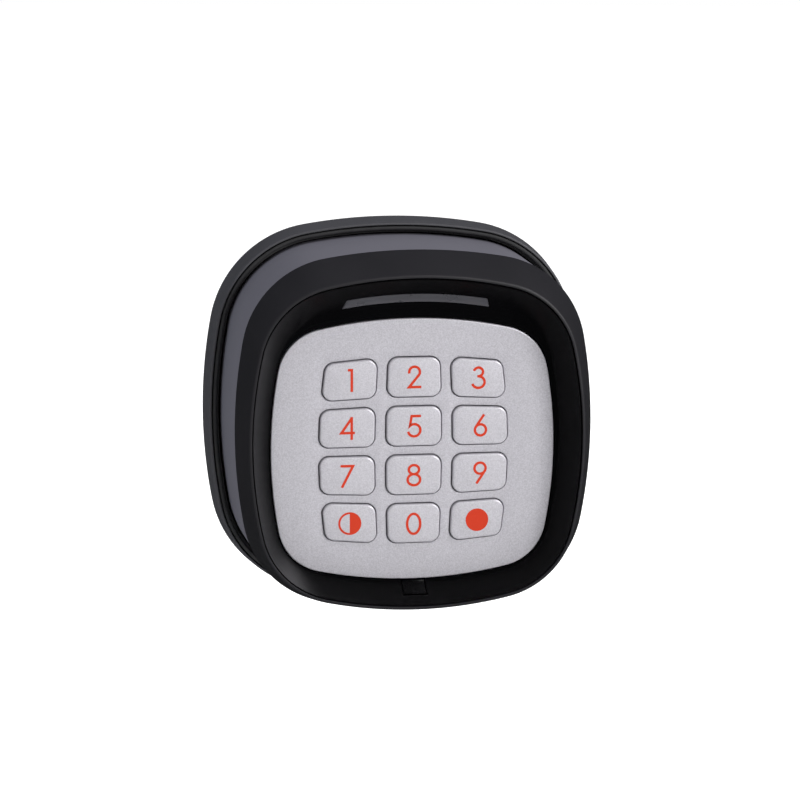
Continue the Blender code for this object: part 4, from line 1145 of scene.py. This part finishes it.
chip_finish = Finish("chip_black", {"Specular IOR Level": 0.4})
mould = chip_finish.noise(0.15, 2.0)
chip_finish.feed("Base Color", chip_finish.mixed(mould, (0.009, 0.009, 0.010), (0.017, 0.017, 0.018)))
chip_finish.feed("Roughness", 0.42 + 0.18 * mould)
chip_finish.bump(mould, 0.01, 0.5)
for node in ("microcontroller", "sounder", "tamper_switch"):
    dress(node, chip_finish)

led_finish = Finish("white_plastic", {"Specular IOR Level": 0.5})
milk = led_finish.noise(1.5, 3.0)
led_finish.feed("Base Color", led_finish.mixed(milk, (0.620, 0.620, 0.600), (0.720, 0.720, 0.700)))
led_finish.feed("Roughness", 0.30 + 0.15 * milk)
led_finish.bump(led_finish.noise(0.5), 0.005, 0.3)
for number in (1, 2, 3):
    dress(f"indicator_led_{number}", led_finish)

copper_finish = Finish("copper", {"Metallic": 1.0})
turns_and_groove_shade = copper_finish.node(
    "ShaderNodeTexWave",
    {"wave_type": "BANDS", "bands_direction": "X"},
    {"Vector": copper_finish.place, "Scale": 320.0, "Distortion": 0.0},
)
# The bands follow the coil's turns and their bump is real relief. The base colour is painted: painted shade
# (dark copper) in the grooves between turns, and a painted highlight (light copper) on each turn's crown.
copper_finish.feed("Base Color", copper_finish.mixed(turns_and_groove_shade, (0.35, 0.14, 0.06), (0.80, 0.42, 0.24)))
copper_finish.feed("Roughness", 0.45 - 0.20 * turns_and_groove_shade)
copper_finish.bump(turns_and_groove_shade, 0.2, 0.8)
dress("aerial_coil", copper_finish)


# ------------------------------------------------------------------ rear cover
# A black ABS lid on the back of the front module, with an open bay for three AAA cells and a guide
# tube for the tamper plunger. Four screws through it hold the module together.

COVER_FLOOR = 1.5
COVER_TAPER = 1.2
COVER_BORDER = 2.0
COVER_EDGE = 0.3
BAY_Z = -11.4
BAY_WALL = 1.4
BAY_HEIGHT = 8.5
BAY_STEP = 0.5
CELL_RADIUS = 5.25
CELL_LENGTH = 43.5
CELL_NUB_LENGTH = 1.0
CELL_GAP = 1.0
CELL_COUNT = 3
CONTACT_ROOM = 4.0
TUBE_BORE = 3.0
TUBE_WALL = 1.0
TUBE_Z = 12.0
SHAFT_HOLE = 1.8

cover_finish = Finish("cover_black", {"Specular IOR Level": 0.45})
grain = cover_finish.noise(0.5, 3.0)
flow = cover_finish.noise(20.0)
cover_finish.feed("Base Color", cover_finish.mixed(flow, (0.024, 0.024, 0.027), (0.036, 0.036, 0.040)))
cover_finish.feed("Roughness", 0.45 + 0.16 * grain)
cover_finish.bump(grain, 0.03, 0.5)

cover_extent = span("rear_cover")
tube_end = cover_extent.rear
cover_front = cover_extent.front
cell_depth = -(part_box("cell_1")[0].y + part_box("cell_1")[1].y) / 2 / MM
COVER_REAR = cell_depth + CELL_RADIUS + FIT
COVER_FLOOR_FRONT = COVER_REAR + COVER_FLOOR
BAY_REAR = COVER_REAR - BAY_HEIGHT
half_x = (CELL_LENGTH + CELL_NUB_LENGTH) / 2 + CONTACT_ROOM
half_z = CELL_COUNT * CELL_RADIUS + (CELL_COUNT - 1) * CELL_GAP / 2 + FIT
mesh = bmesh.new()
loft(
    mesh,
    (
        (SKIRT_INNER, COVER_FLOOR_FRONT, 0.0),
        (SKIRT_INNER, cover_front, 0.15),
        (SKIRT_OUTER, cover_front, 0.15),
        (SKIRT_OUTER, COVER_FLOOR_FRONT, COVER_EDGE),
        (SKIRT_OUTER.inset(COVER_TAPER), COVER_REAR, COVER_EDGE),
        (SKIRT_OUTER.inset(COVER_TAPER + COVER_BORDER), COVER_REAR, 0.0),
    ),
    closed=False,
)
cover = as_object("battery_cover", mesh)
inside_floor = COVER_REAR + COVER_FLOOR / 2
walls = bmesh.new()
for side in (-1, 1):
    edges = sorted((side * half_x, side * (half_x + BAY_WALL)))
    low = (edges[0], BAY_REAR, BAY_Z - half_z - BAY_WALL)
    box(walls, low, (edges[1], inside_floor, BAY_Z + half_z + BAY_WALL))
combine(cover, walls, "UNION")
walls = bmesh.new()
for side in (-1, 1):
    edges = sorted((side * half_z, side * (half_z + BAY_WALL)))
    low = (-half_x - BAY_WALL / 2, BAY_REAR + BAY_STEP, BAY_Z + edges[0])
    box(walls, low, (half_x + BAY_WALL / 2, inside_floor, BAY_Z + edges[1]))
for x, z in MODULE_SCREW_PLACES:
    turned(walls, x, z, ((MODULE_BOSS_RADIUS, inside_floor), (MODULE_BOSS_RADIUS, cover_front)))
turned(walls, 0.0, TUBE_Z, ((TUBE_BORE + TUBE_WALL, tube_end), (TUBE_BORE + TUBE_WALL, inside_floor)))
combine(cover, walls, "UNION")
holes = bmesh.new()
for x, z in MODULE_SCREW_PLACES:
    rear = COVER_REAR - OVERSHOOT
    turned(holes, x, z, ((MODULE_HOLE_RADIUS, rear), (MODULE_HOLE_RADIUS, cover_front + OVERSHOOT)))
steps = (
    (TUBE_BORE, tube_end - OVERSHOOT),
    (TUBE_BORE, COVER_REAR),
    (SHAFT_HOLE, COVER_REAR),
    (SHAFT_HOLE, cover_front),
)
turned(holes, 0.0, TUBE_Z, steps)
half = GUIDE_WIDTH / 2 + FIT
skirt_edge = SKIRT_OUTER.centre_z + SKIRT_OUTER.half_h
low = (-half, led_depth - FIT, skirt_edge - SKIRT_WALL - OVERSHOOT)
box(holes, low, (half, cover_front + OVERSHOOT, skirt_edge + OVERSHOOT))
combine(cover, holes, "DIFFERENCE")
bevelled(cover, 0.12, 2, 60.0)
shade(cover, cover_finish)
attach(cover, "front_module")
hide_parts("rear_cover")


# ------------------------------------------------------------------ dry cells
# Three AAA cells in series, so the middle one lies the other way round. Each is a steel can in a
# printed foil jacket, plain dark with a copper-coloured band at the positive end.

CELL_SHOULDER = 0.5
CELL_END_INSET = 1.1
BARE_BEYOND_NUB = 0.5
CELL_NUB_RADIUS = 1.9
JACKET_END = 0.9
BAND_WIDTH = 11.0

cell_steel = Finish("cell_steel", {"Metallic": 1.0})
brushed = cell_steel.noise(0.6, 4.0)
cell_steel.feed("Base Color", cell_steel.mixed(brushed, (0.50, 0.50, 0.50), (0.66, 0.66, 0.65)))
cell_steel.feed("Roughness", 0.22 + 0.16 * brushed)
cell_steel.bump(brushed, 0.004, 0.4)


def jacket(name, way):
    made = Finish(name, {"Metallic": 0.4, "Coat Weight": 0.4, "Coat Roughness": 0.15})
    parts = made.node("ShaderNodeSeparateXYZ", {}, {"Vector": made.place}, "X")
    edge = (CELL_LENGTH / 2 - BAND_WIDTH) * MM
    band = made.node("ShaderNodeMath", {"operation": "GREATER_THAN"}, {0: way * parts, 1: edge})
    print_noise = made.noise(1.2, 3.0)
    dark = made.mixed(print_noise, (0.030, 0.034, 0.040), (0.042, 0.047, 0.055))
    gold = made.mixed(print_noise, (0.560, 0.240, 0.080), (0.640, 0.290, 0.105))
    made.feed("Base Color", made.mixed(band, dark, gold))
    made.feed("Roughness", 0.24 + 0.12 * print_noise)
    made.bump(print_noise, 0.003, 0.3)
    return made


JACKETS = {1: jacket("cell_jacket", 1), -1: jacket("cell_jacket_turned", -1)}


def turned_x(mesh, steps, depth, z, sides=ROUND_SIDES):
    """A turned piece on an axis along X, from its (radius, x) steps."""
    loops = []
    for radius, x in steps:
        flat = circle(z, depth, radius, sides)
        loops.append([mesh.verts.new(point(x, down, up)) for up, down in flat])
    for first, second in zip(loops, loops[1:]):
        bridge(mesh, first, second)
    mesh.faces.new(loops[0])
    mesh.faces.new(loops[-1])


cell_end = (CELL_LENGTH + CELL_NUB_LENGTH) / 2
for number in range(CELL_COUNT):
    way = -1 if number == 1 else 1
    z = BAY_Z + (1 - number) * (2 * CELL_RADIUS + CELL_GAP)
    shoulder = cell_end - CELL_NUB_LENGTH
    steps = (
        (CELL_RADIUS - CELL_END_INSET, -way * cell_end),
        (CELL_RADIUS - CELL_SHOULDER, -way * (cell_end - 0.1)),
        (CELL_RADIUS - 0.15, -way * (cell_end - 0.35)),
        (CELL_RADIUS, -way * (cell_end - JACKET_END)),
        (CELL_RADIUS, way * (shoulder - JACKET_END)),
        (CELL_RADIUS - 0.15, way * (shoulder - 0.35)),
        (CELL_RADIUS - CELL_SHOULDER, way * (shoulder - 0.1)),
        (CELL_RADIUS - CELL_END_INSET, way * shoulder),
        (CELL_NUB_RADIUS + 0.3, way * shoulder),
        (CELL_NUB_RADIUS, way * (shoulder + 0.3)),
        (CELL_NUB_RADIUS, way * (cell_end - 0.25)),
        (CELL_NUB_RADIUS - 0.25, way * cell_end),
    )
    mesh = bmesh.new()
    turned_x(mesh, steps, cell_depth, z)
    cell = as_object(f"dry_cell_{number + 1}", mesh)
    shade(cell, JACKETS[way])
    cell.data.materials.append(cell_steel.material)
    axis = Vector((-cell_depth, z)) * MM
    bare_radius = (CELL_NUB_RADIUS + BARE_BEYOND_NUB) * MM
    for face in cell.data.polygons:
        from_axis = (Vector((face.center.y, face.center.z)) - axis).length
        if abs(face.normal.x) > 0.9 or from_axis < bare_radius:
            face.material_index = 1
    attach(cell, "front_module")
    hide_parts(f"cell_{number + 1}")


# ------------------------------------------------------------------ battery contacts and springs
# Nickel-plated spring steel: a wound cone presses on each flat cell end and a dome meets each nub.
# The tamper plunger's spring is wound from a thinner wire of the same steel.

CONTACT_THICK = 0.6
CONTACT_WIDTH = 8.0
SPRING_BASE_RADIUS = 3.0
SPRING_TIP_RADIUS = 1.7
SPRING_TURNS = 3.5
SPRING_WIRE_RADIUS = 0.28
BUTTON_CROWN = 0.5
BUTTON_TIP_RADIUS = 0.6
WIRE_SIDES = 10
COIL_STEPS = 28
BUTTON_RADIUS = 1.8
PLUNGER_RADIUS = 1.5
TAMPER_WIRE_RADIUS = 0.225
TAMPER_TURNS = 7.5

spring_finish = Finish("spring_steel", {"Metallic": 1.0})
drawn = spring_finish.noise(0.8, 4.0)
spring_finish.feed("Base Color", spring_finish.mixed(drawn, (0.54, 0.53, 0.50), (0.68, 0.67, 0.64)))
spring_finish.feed("Roughness", 0.20 + 0.18 * drawn)
spring_finish.bump(drawn, 0.003, 0.4)


def wire(mesh, places, radius):
    """A round wire along a list of points in metres."""
    loops = []
    for i, place in enumerate(places):
        way = (places[min(i + 1, len(places) - 1)] - places[max(i - 1, 0)]).normalized()
        side = way.cross(Vector((0.37, 0.61, 0.70))).normalized()
        other = way.cross(side)
        loop = []
        for j in range(WIRE_SIDES):
            angle = 2 * math.pi * j / WIRE_SIDES
            outward = side * math.cos(angle) + other * math.sin(angle)
            loop.append(mesh.verts.new(place + outward * radius * MM))
        loops.append(loop)
    for first, second in zip(loops, loops[1:]):
        bridge(mesh, first, second)
    mesh.faces.new(loops[0])
    mesh.faces.new(loops[-1])


plates = (
    ("contact_positive", 1, (0,)),
    ("contact_link_right", 1, (1, 2)),
    ("contact_link_left", -1, (0, 1)),
    ("contact_negative", -1, (2,)),
)
for node, side, cells in plates:
    outer = half_x - FIT
    inner = outer - CONTACT_THICK
    edges = sorted((side * inner, side * outer))
    heights = [BAY_Z + (1 - number) * (2 * CELL_RADIUS + CELL_GAP) for number in cells]
    mesh = bmesh.new()
    low = (edges[0], cell_depth - CONTACT_WIDTH / 2, min(heights) - CONTACT_WIDTH / 2)
    box(mesh, low, (edges[1], cell_depth + CONTACT_WIDTH / 2, max(heights) + CONTACT_WIDTH / 2))
    contact = as_object(node + "_strip", mesh)
    bevelled(contact, 0.15)
    tips = bmesh.new()
    tips.from_mesh(contact.data)
    for number, z in zip(cells, heights):
        tip = side * (cell_end + FIT)
        root = side * (inner + CONTACT_THICK / 2)
        if (-1 if number == 1 else 1) == side:
            steps = (
                (BUTTON_RADIUS, root),
                (BUTTON_RADIUS, tip + side * BUTTON_CROWN),
                (BUTTON_RADIUS - BUTTON_CROWN, tip + side * 0.1),
                (BUTTON_TIP_RADIUS, tip),
            )
            turned_x(tips, steps, cell_depth, z)
            continue
        count = int(SPRING_TURNS * COIL_STEPS)
        start = root
        end = tip + side * SPRING_WIRE_RADIUS
        places = []
        for i in range(count + 1):
            share = i / count
            angle = 2 * math.pi * SPRING_TURNS * share
            radius = SPRING_BASE_RADIUS + (SPRING_TIP_RADIUS - SPRING_BASE_RADIUS) * share
            x = start + (end - start) * share
            places.append(point(x, cell_depth + radius * math.cos(angle), z + radius * math.sin(angle)))
        wire(tips, places, SPRING_WIRE_RADIUS)
    bmesh.ops.recalc_face_normals(tips, faces=tips.faces)
    tips.to_mesh(contact.data)
    tips.free()
    shade(contact, spring_finish)
    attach(contact, "front_module")
    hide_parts(node)

extent = span("tamper_spring")
radius = PLUNGER_RADIUS + FIT + TAMPER_WIRE_RADIUS
count = int(TAMPER_TURNS * COIL_STEPS)
places = []
for i in range(count + 1):
    share = i / count
    angle = 2 * math.pi * TAMPER_TURNS * share
    depth = extent.rear + TAMPER_WIRE_RADIUS + (extent.front - extent.rear - 2 * TAMPER_WIRE_RADIUS) * share
    places.append(point(radius * math.cos(angle), depth, TUBE_Z + radius * math.sin(angle)))
mesh = bmesh.new()
wire(mesh, places, TAMPER_WIRE_RADIUS)
spring = as_object("plunger_spring", mesh)
shade(spring, spring_finish)
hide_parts("tamper_spring")
point(0, extent.front, TUBE_Z)
point(0, extent.rear, TUBE_Z)
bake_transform(spring)


# ------------------------------------------------------------------ tamper plunger
# A white acetal pin on the switch. The wall plate's post holds it in while the module is shut, and
# its spring pushes it out as soon as the module is opened.

COLLAR_RADIUS = 2.6
COLLAR = 1.2
COLLAR_FROM_TIP = 4.0

extent = span("tamper_plunger")
collar = extent.rear + COLLAR_FROM_TIP
mesh = bmesh.new()
steps = (
    (0.4, extent.rear),
    (0.9, extent.rear + 0.15),
    (1.3, extent.rear + 0.45),
    (PLUNGER_RADIUS, extent.rear + 0.95),
    (PLUNGER_RADIUS, collar),
    (COLLAR_RADIUS - 0.15, collar),
    (COLLAR_RADIUS, collar + 0.15),
    (COLLAR_RADIUS, collar + COLLAR - 0.15),
    (COLLAR_RADIUS - 0.15, collar + COLLAR),
    (PLUNGER_RADIUS, collar + COLLAR),
    (PLUNGER_RADIUS, extent.front - 0.2),
    (PLUNGER_RADIUS - 0.2, extent.front),
)
turned(mesh, 0.0, TUBE_Z, steps)
plunger = as_object("plunger_pin", mesh)
shade(plunger, led_finish)
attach(plunger, "tamper_plunger")
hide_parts("tamper_plunger")


# ------------------------------------------------------------------ screws
# Zinc-plated pan-head screws with a cross recess: four through the waist's ledge, two up the bezel
# posts, and four that close the front module.

THREAD_PITCH = 0.8
THREAD_DEEP = 0.22
CROSS_ARM = 0.55
CROSS_DEEP = 0.7
CROSS_SLIM = 0.28
CROSS_ABOVE_HEAD = 0.5
HEAD_FACE_INSET = 0.6
HEAD_EDGE_INSET = 0.25
HEAD_EDGE_DROP = 0.15
SCREW_SIDES = 32
HEAD_CROWN = 0.45

screw_finish = Finish("screw_steel", {"Metallic": 1.0})
plating = screw_finish.noise(0.7, 4.0)
screw_finish.feed("Base Color", screw_finish.mixed(plating, (0.46, 0.46, 0.48), (0.60, 0.60, 0.61)))
screw_finish.feed("Roughness", 0.24 + 0.18 * plating)
screw_finish.bump(plating, 0.004, 0.4)


def screw(node, head_radius, head_height, shank_radius, head_outward, body):
    """A screw in place of its plain solid: its head is towards the person, or towards the wall."""
    extent = span(node)
    low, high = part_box(node)
    x = (low.x + high.x) / 2 / MM
    z = (low.z + high.z) / 2 / MM
    way = 1 if head_outward else -1
    head_face = extent.front if head_outward else extent.rear
    tip = extent.rear if head_outward else extent.front
    under_head = head_face - way * head_height
    steps = [
        (head_radius - HEAD_FACE_INSET, head_face),
        (head_radius - HEAD_EDGE_INSET, head_face - way * HEAD_EDGE_DROP),
        (head_radius, head_face - way * HEAD_CROWN),
        (head_radius, under_head),
        (shank_radius, under_head),
    ]
    depth = under_head
    while (depth - way * THREAD_PITCH - tip) * way > THREAD_PITCH / 2:
        depth -= way * THREAD_PITCH
        steps.append((shank_radius - THREAD_DEEP, depth + way * THREAD_PITCH / 2))
        steps.append((shank_radius, depth))
    steps.append((shank_radius * 0.5, tip))
    mesh = bmesh.new()
    turned(mesh, x, z, steps, SCREW_SIDES)
    made = as_object(node + "_fastener", mesh)
    arm = head_radius * CROSS_ARM
    slim = arm * CROSS_SLIM
    bottom = head_face - way * CROSS_DEEP
    for half_a, half_b in ((arm, slim), (slim, arm)):
        signs = ((-1, -1), (1, -1), (1, 1), (-1, 1))
        wide = [(x + a * half_a, z + b * half_b) for a, b in signs]
        narrow = [(x + (a - x) * 0.6, z + (b - z) * 0.8) for a, b in wide]
        arm_mesh = bmesh.new()
        stack(arm_mesh, [(wide, head_face + way * CROSS_ABOVE_HEAD), (wide, head_face), (narrow, bottom)])
        combine(made, arm_mesh, "DIFFERENCE")
    shade(made, screw_finish)
    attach(made, body)
    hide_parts(node)


for number in (1, 2, 3, 4):
    screw(f"shell_screw_{number}", 2.8, 2.2, 1.45, True, "housing")
    screw(f"module_screw_{number}", 2.2, 1.5, 1.0, False, "front_module")
for number in (1, 2):
    screw(f"bezel_screw_{number}", 2.1, 1.8, 1.2, False, "housing")


# ------------------------------------------------------------------ release catch
# A plain finger tab in the same gloss black as the ring, flush with its dish. Pushed up, it frees
# the module's lower edge.

CATCH_TRAVEL = 1.0
CATCH_STEM = 5.0
CATCH_ROUND = 0.18
CATCH_STEPS = 6

catch_finish = Finish("gloss_black_catch", {"Specular IOR Level": 0.06})
rub = catch_finish.noise(2.0, 4.0)
catch_finish.feed("Base Color", catch_finish.mixed(rub, (0.0014, 0.0014, 0.0016), (0.0022, 0.0022, 0.0026)))
catch_finish.feed("Roughness", 0.20 + 0.14 * rub)
catch_finish.bump(rub, 0.004, 0.4)

face = []
for step in range(CATCH_STEPS + 1):
    outline = dish_outline(CATCH_SHARE * step / CATCH_STEPS)
    face.append((outline.centre_z - outline.half_h, dish_depth(CATCH_SHARE * step / CATCH_STEPS)))
stem_top = PANEL.centre_z - PANEL.half_h - FIT - CATCH_TRAVEL
face[0] = (face[0][0], PANEL_FACE + FIT)
stem_end = PANEL_FACE - CATCH_STEM
profile = face + [(face[-1][0], stem_end), (stem_top, stem_end), (stem_top, PANEL_FACE + FIT)]
mesh = bmesh.new()
prism(mesh, profile, -CATCH_HALF_WIDTH, CATCH_HALF_WIDTH)
catch = as_object("catch_tab", mesh)
bevelled(catch, CATCH_ROUND)
shade(catch, catch_finish)
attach(catch, "release_catch")
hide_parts("release_catch")


# ------------------------------------------------------------------ camera, light and floor
# The camera stands a little left of and above the keypad, and looks at it through a long lens.

VIEW_AZIMUTH = -9.35
VIEW_ELEVATION = 9.67
VIEW_ROLL = 0.29
VIEW_DISTANCE = 640.0
VIEW_OFFSET = (3.80, -0.28)
VIEW_AIM_DEPTH = -6.4
LENS = 107.1
FLOOR_DROP = 0.12
FLOOR_HALF = 60.0

azimuth = math.radians(VIEW_AZIMUTH)
elevation = math.radians(VIEW_ELEVATION)
roll = math.radians(VIEW_ROLL)
outward = math.cos(elevation)
back = Vector((math.sin(azimuth) * outward, -math.cos(azimuth) * outward, math.sin(elevation)))
level = Vector((math.cos(azimuth), math.sin(azimuth), 0.0))
upward = back.cross(level)
right = math.cos(roll) * level + math.sin(roll) * upward
up = math.cos(roll) * upward - math.sin(roll) * level
aim = point(0.0, VIEW_AIM_DEPTH, 0.0)
place = aim + (back * VIEW_DISTANCE + right * VIEW_OFFSET[0] + up * VIEW_OFFSET[1]) * MM
camera_data = bpy.data.cameras.new("camera")
camera_data.lens = LENS
camera = bpy.data.objects.new("camera", camera_data)
camera.matrix_world = Matrix((right, up, back)).transposed().to_4x4()
camera.location = place
bpy.context.scene.collection.objects.link(camera)
bpy.context.scene.camera = camera


def lamp(name, place, size, power, colour, glints):
    """A soft disc aimed at the keypad; glints says whether it also shows in shiny faces."""
    data = bpy.data.lights.new(name, "AREA")
    data.shape = "DISK"
    data.size = size
    data.energy = power
    data.color = colour
    obj = bpy.data.objects.new(name, data)
    obj.location = place
    obj.rotation_mode = "QUATERNION"
    obj.rotation_quaternion = Vector(place).to_track_quat("Z", "Y")
    obj.visible_glossy = glints
    bpy.context.scene.collection.objects.link(obj)


lamp("key_light", (0.75, -0.95, 0.50), 0.50, 14.0, (1.0, 0.99, 0.98), True)
lamp("side_light", (-0.85, 0.05, 0.45), 0.50, 2.5, (0.85, 0.92, 1.0), False)
lamp("back_light", (0.45, 0.95, 0.40), 0.80, 3.0, (1.0, 1.0, 1.0), False)

sun_data = bpy.data.lights.new("ceiling_light", "SUN")
sun_data.energy = 2.0
sun_data.angle = math.radians(60.0)
sun = bpy.data.objects.new("ceiling_light", sun_data)
sun.visible_glossy = False
sun.rotation_mode = "QUATERNION"
sun.rotation_quaternion = Vector((0.25, -0.15, 1.0)).to_track_quat("Z", "Y")
bpy.context.scene.collection.objects.link(sun)

world = bpy.data.worlds.new("studio")
world.use_nodes = True
sky = Nodes(world.node_tree)
seen = sky.node("ShaderNodeLightPath", {}, {}, "Is Camera Ray")
diffuse = sky.node("ShaderNodeLightPath", {}, {}, "Is Diffuse Ray")
sky.connect(world.node_tree.nodes["Background"].inputs["Color"], (1.0, 1.0, 1.0, 1.0))
sky.connect(world.node_tree.nodes["Background"].inputs["Strength"], 0.03 + 0.97 * seen + 0.27 * diffuse)
bpy.context.scene.world = world
bpy.context.scene.view_settings.view_transform = "Standard"

mesh = bmesh.new()
bmesh.ops.create_grid(mesh, x_segments=1, y_segments=1, size=FLOOR_HALF)
floor = as_object("floor", mesh)
floor.location = (0.0, 0.0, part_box("wall_plate")[0].z - FLOOR_DROP)
floor_finish = Finish("floor_paper", {"Roughness": 0.9, "Emission Strength": 0.45})
tone = floor_finish.noise(60.0)
floor_finish.feed("Base Color", floor_finish.mixed(tone, (0.88, 0.88, 0.88), (0.91, 0.91, 0.91)))
floor_finish.feed("Emission Color", floor_finish.mixed(tone, (0.97, 0.97, 0.97), (1.0, 1.0, 1.0)))
shade(floor, floor_finish)
floor.visible_glossy = False
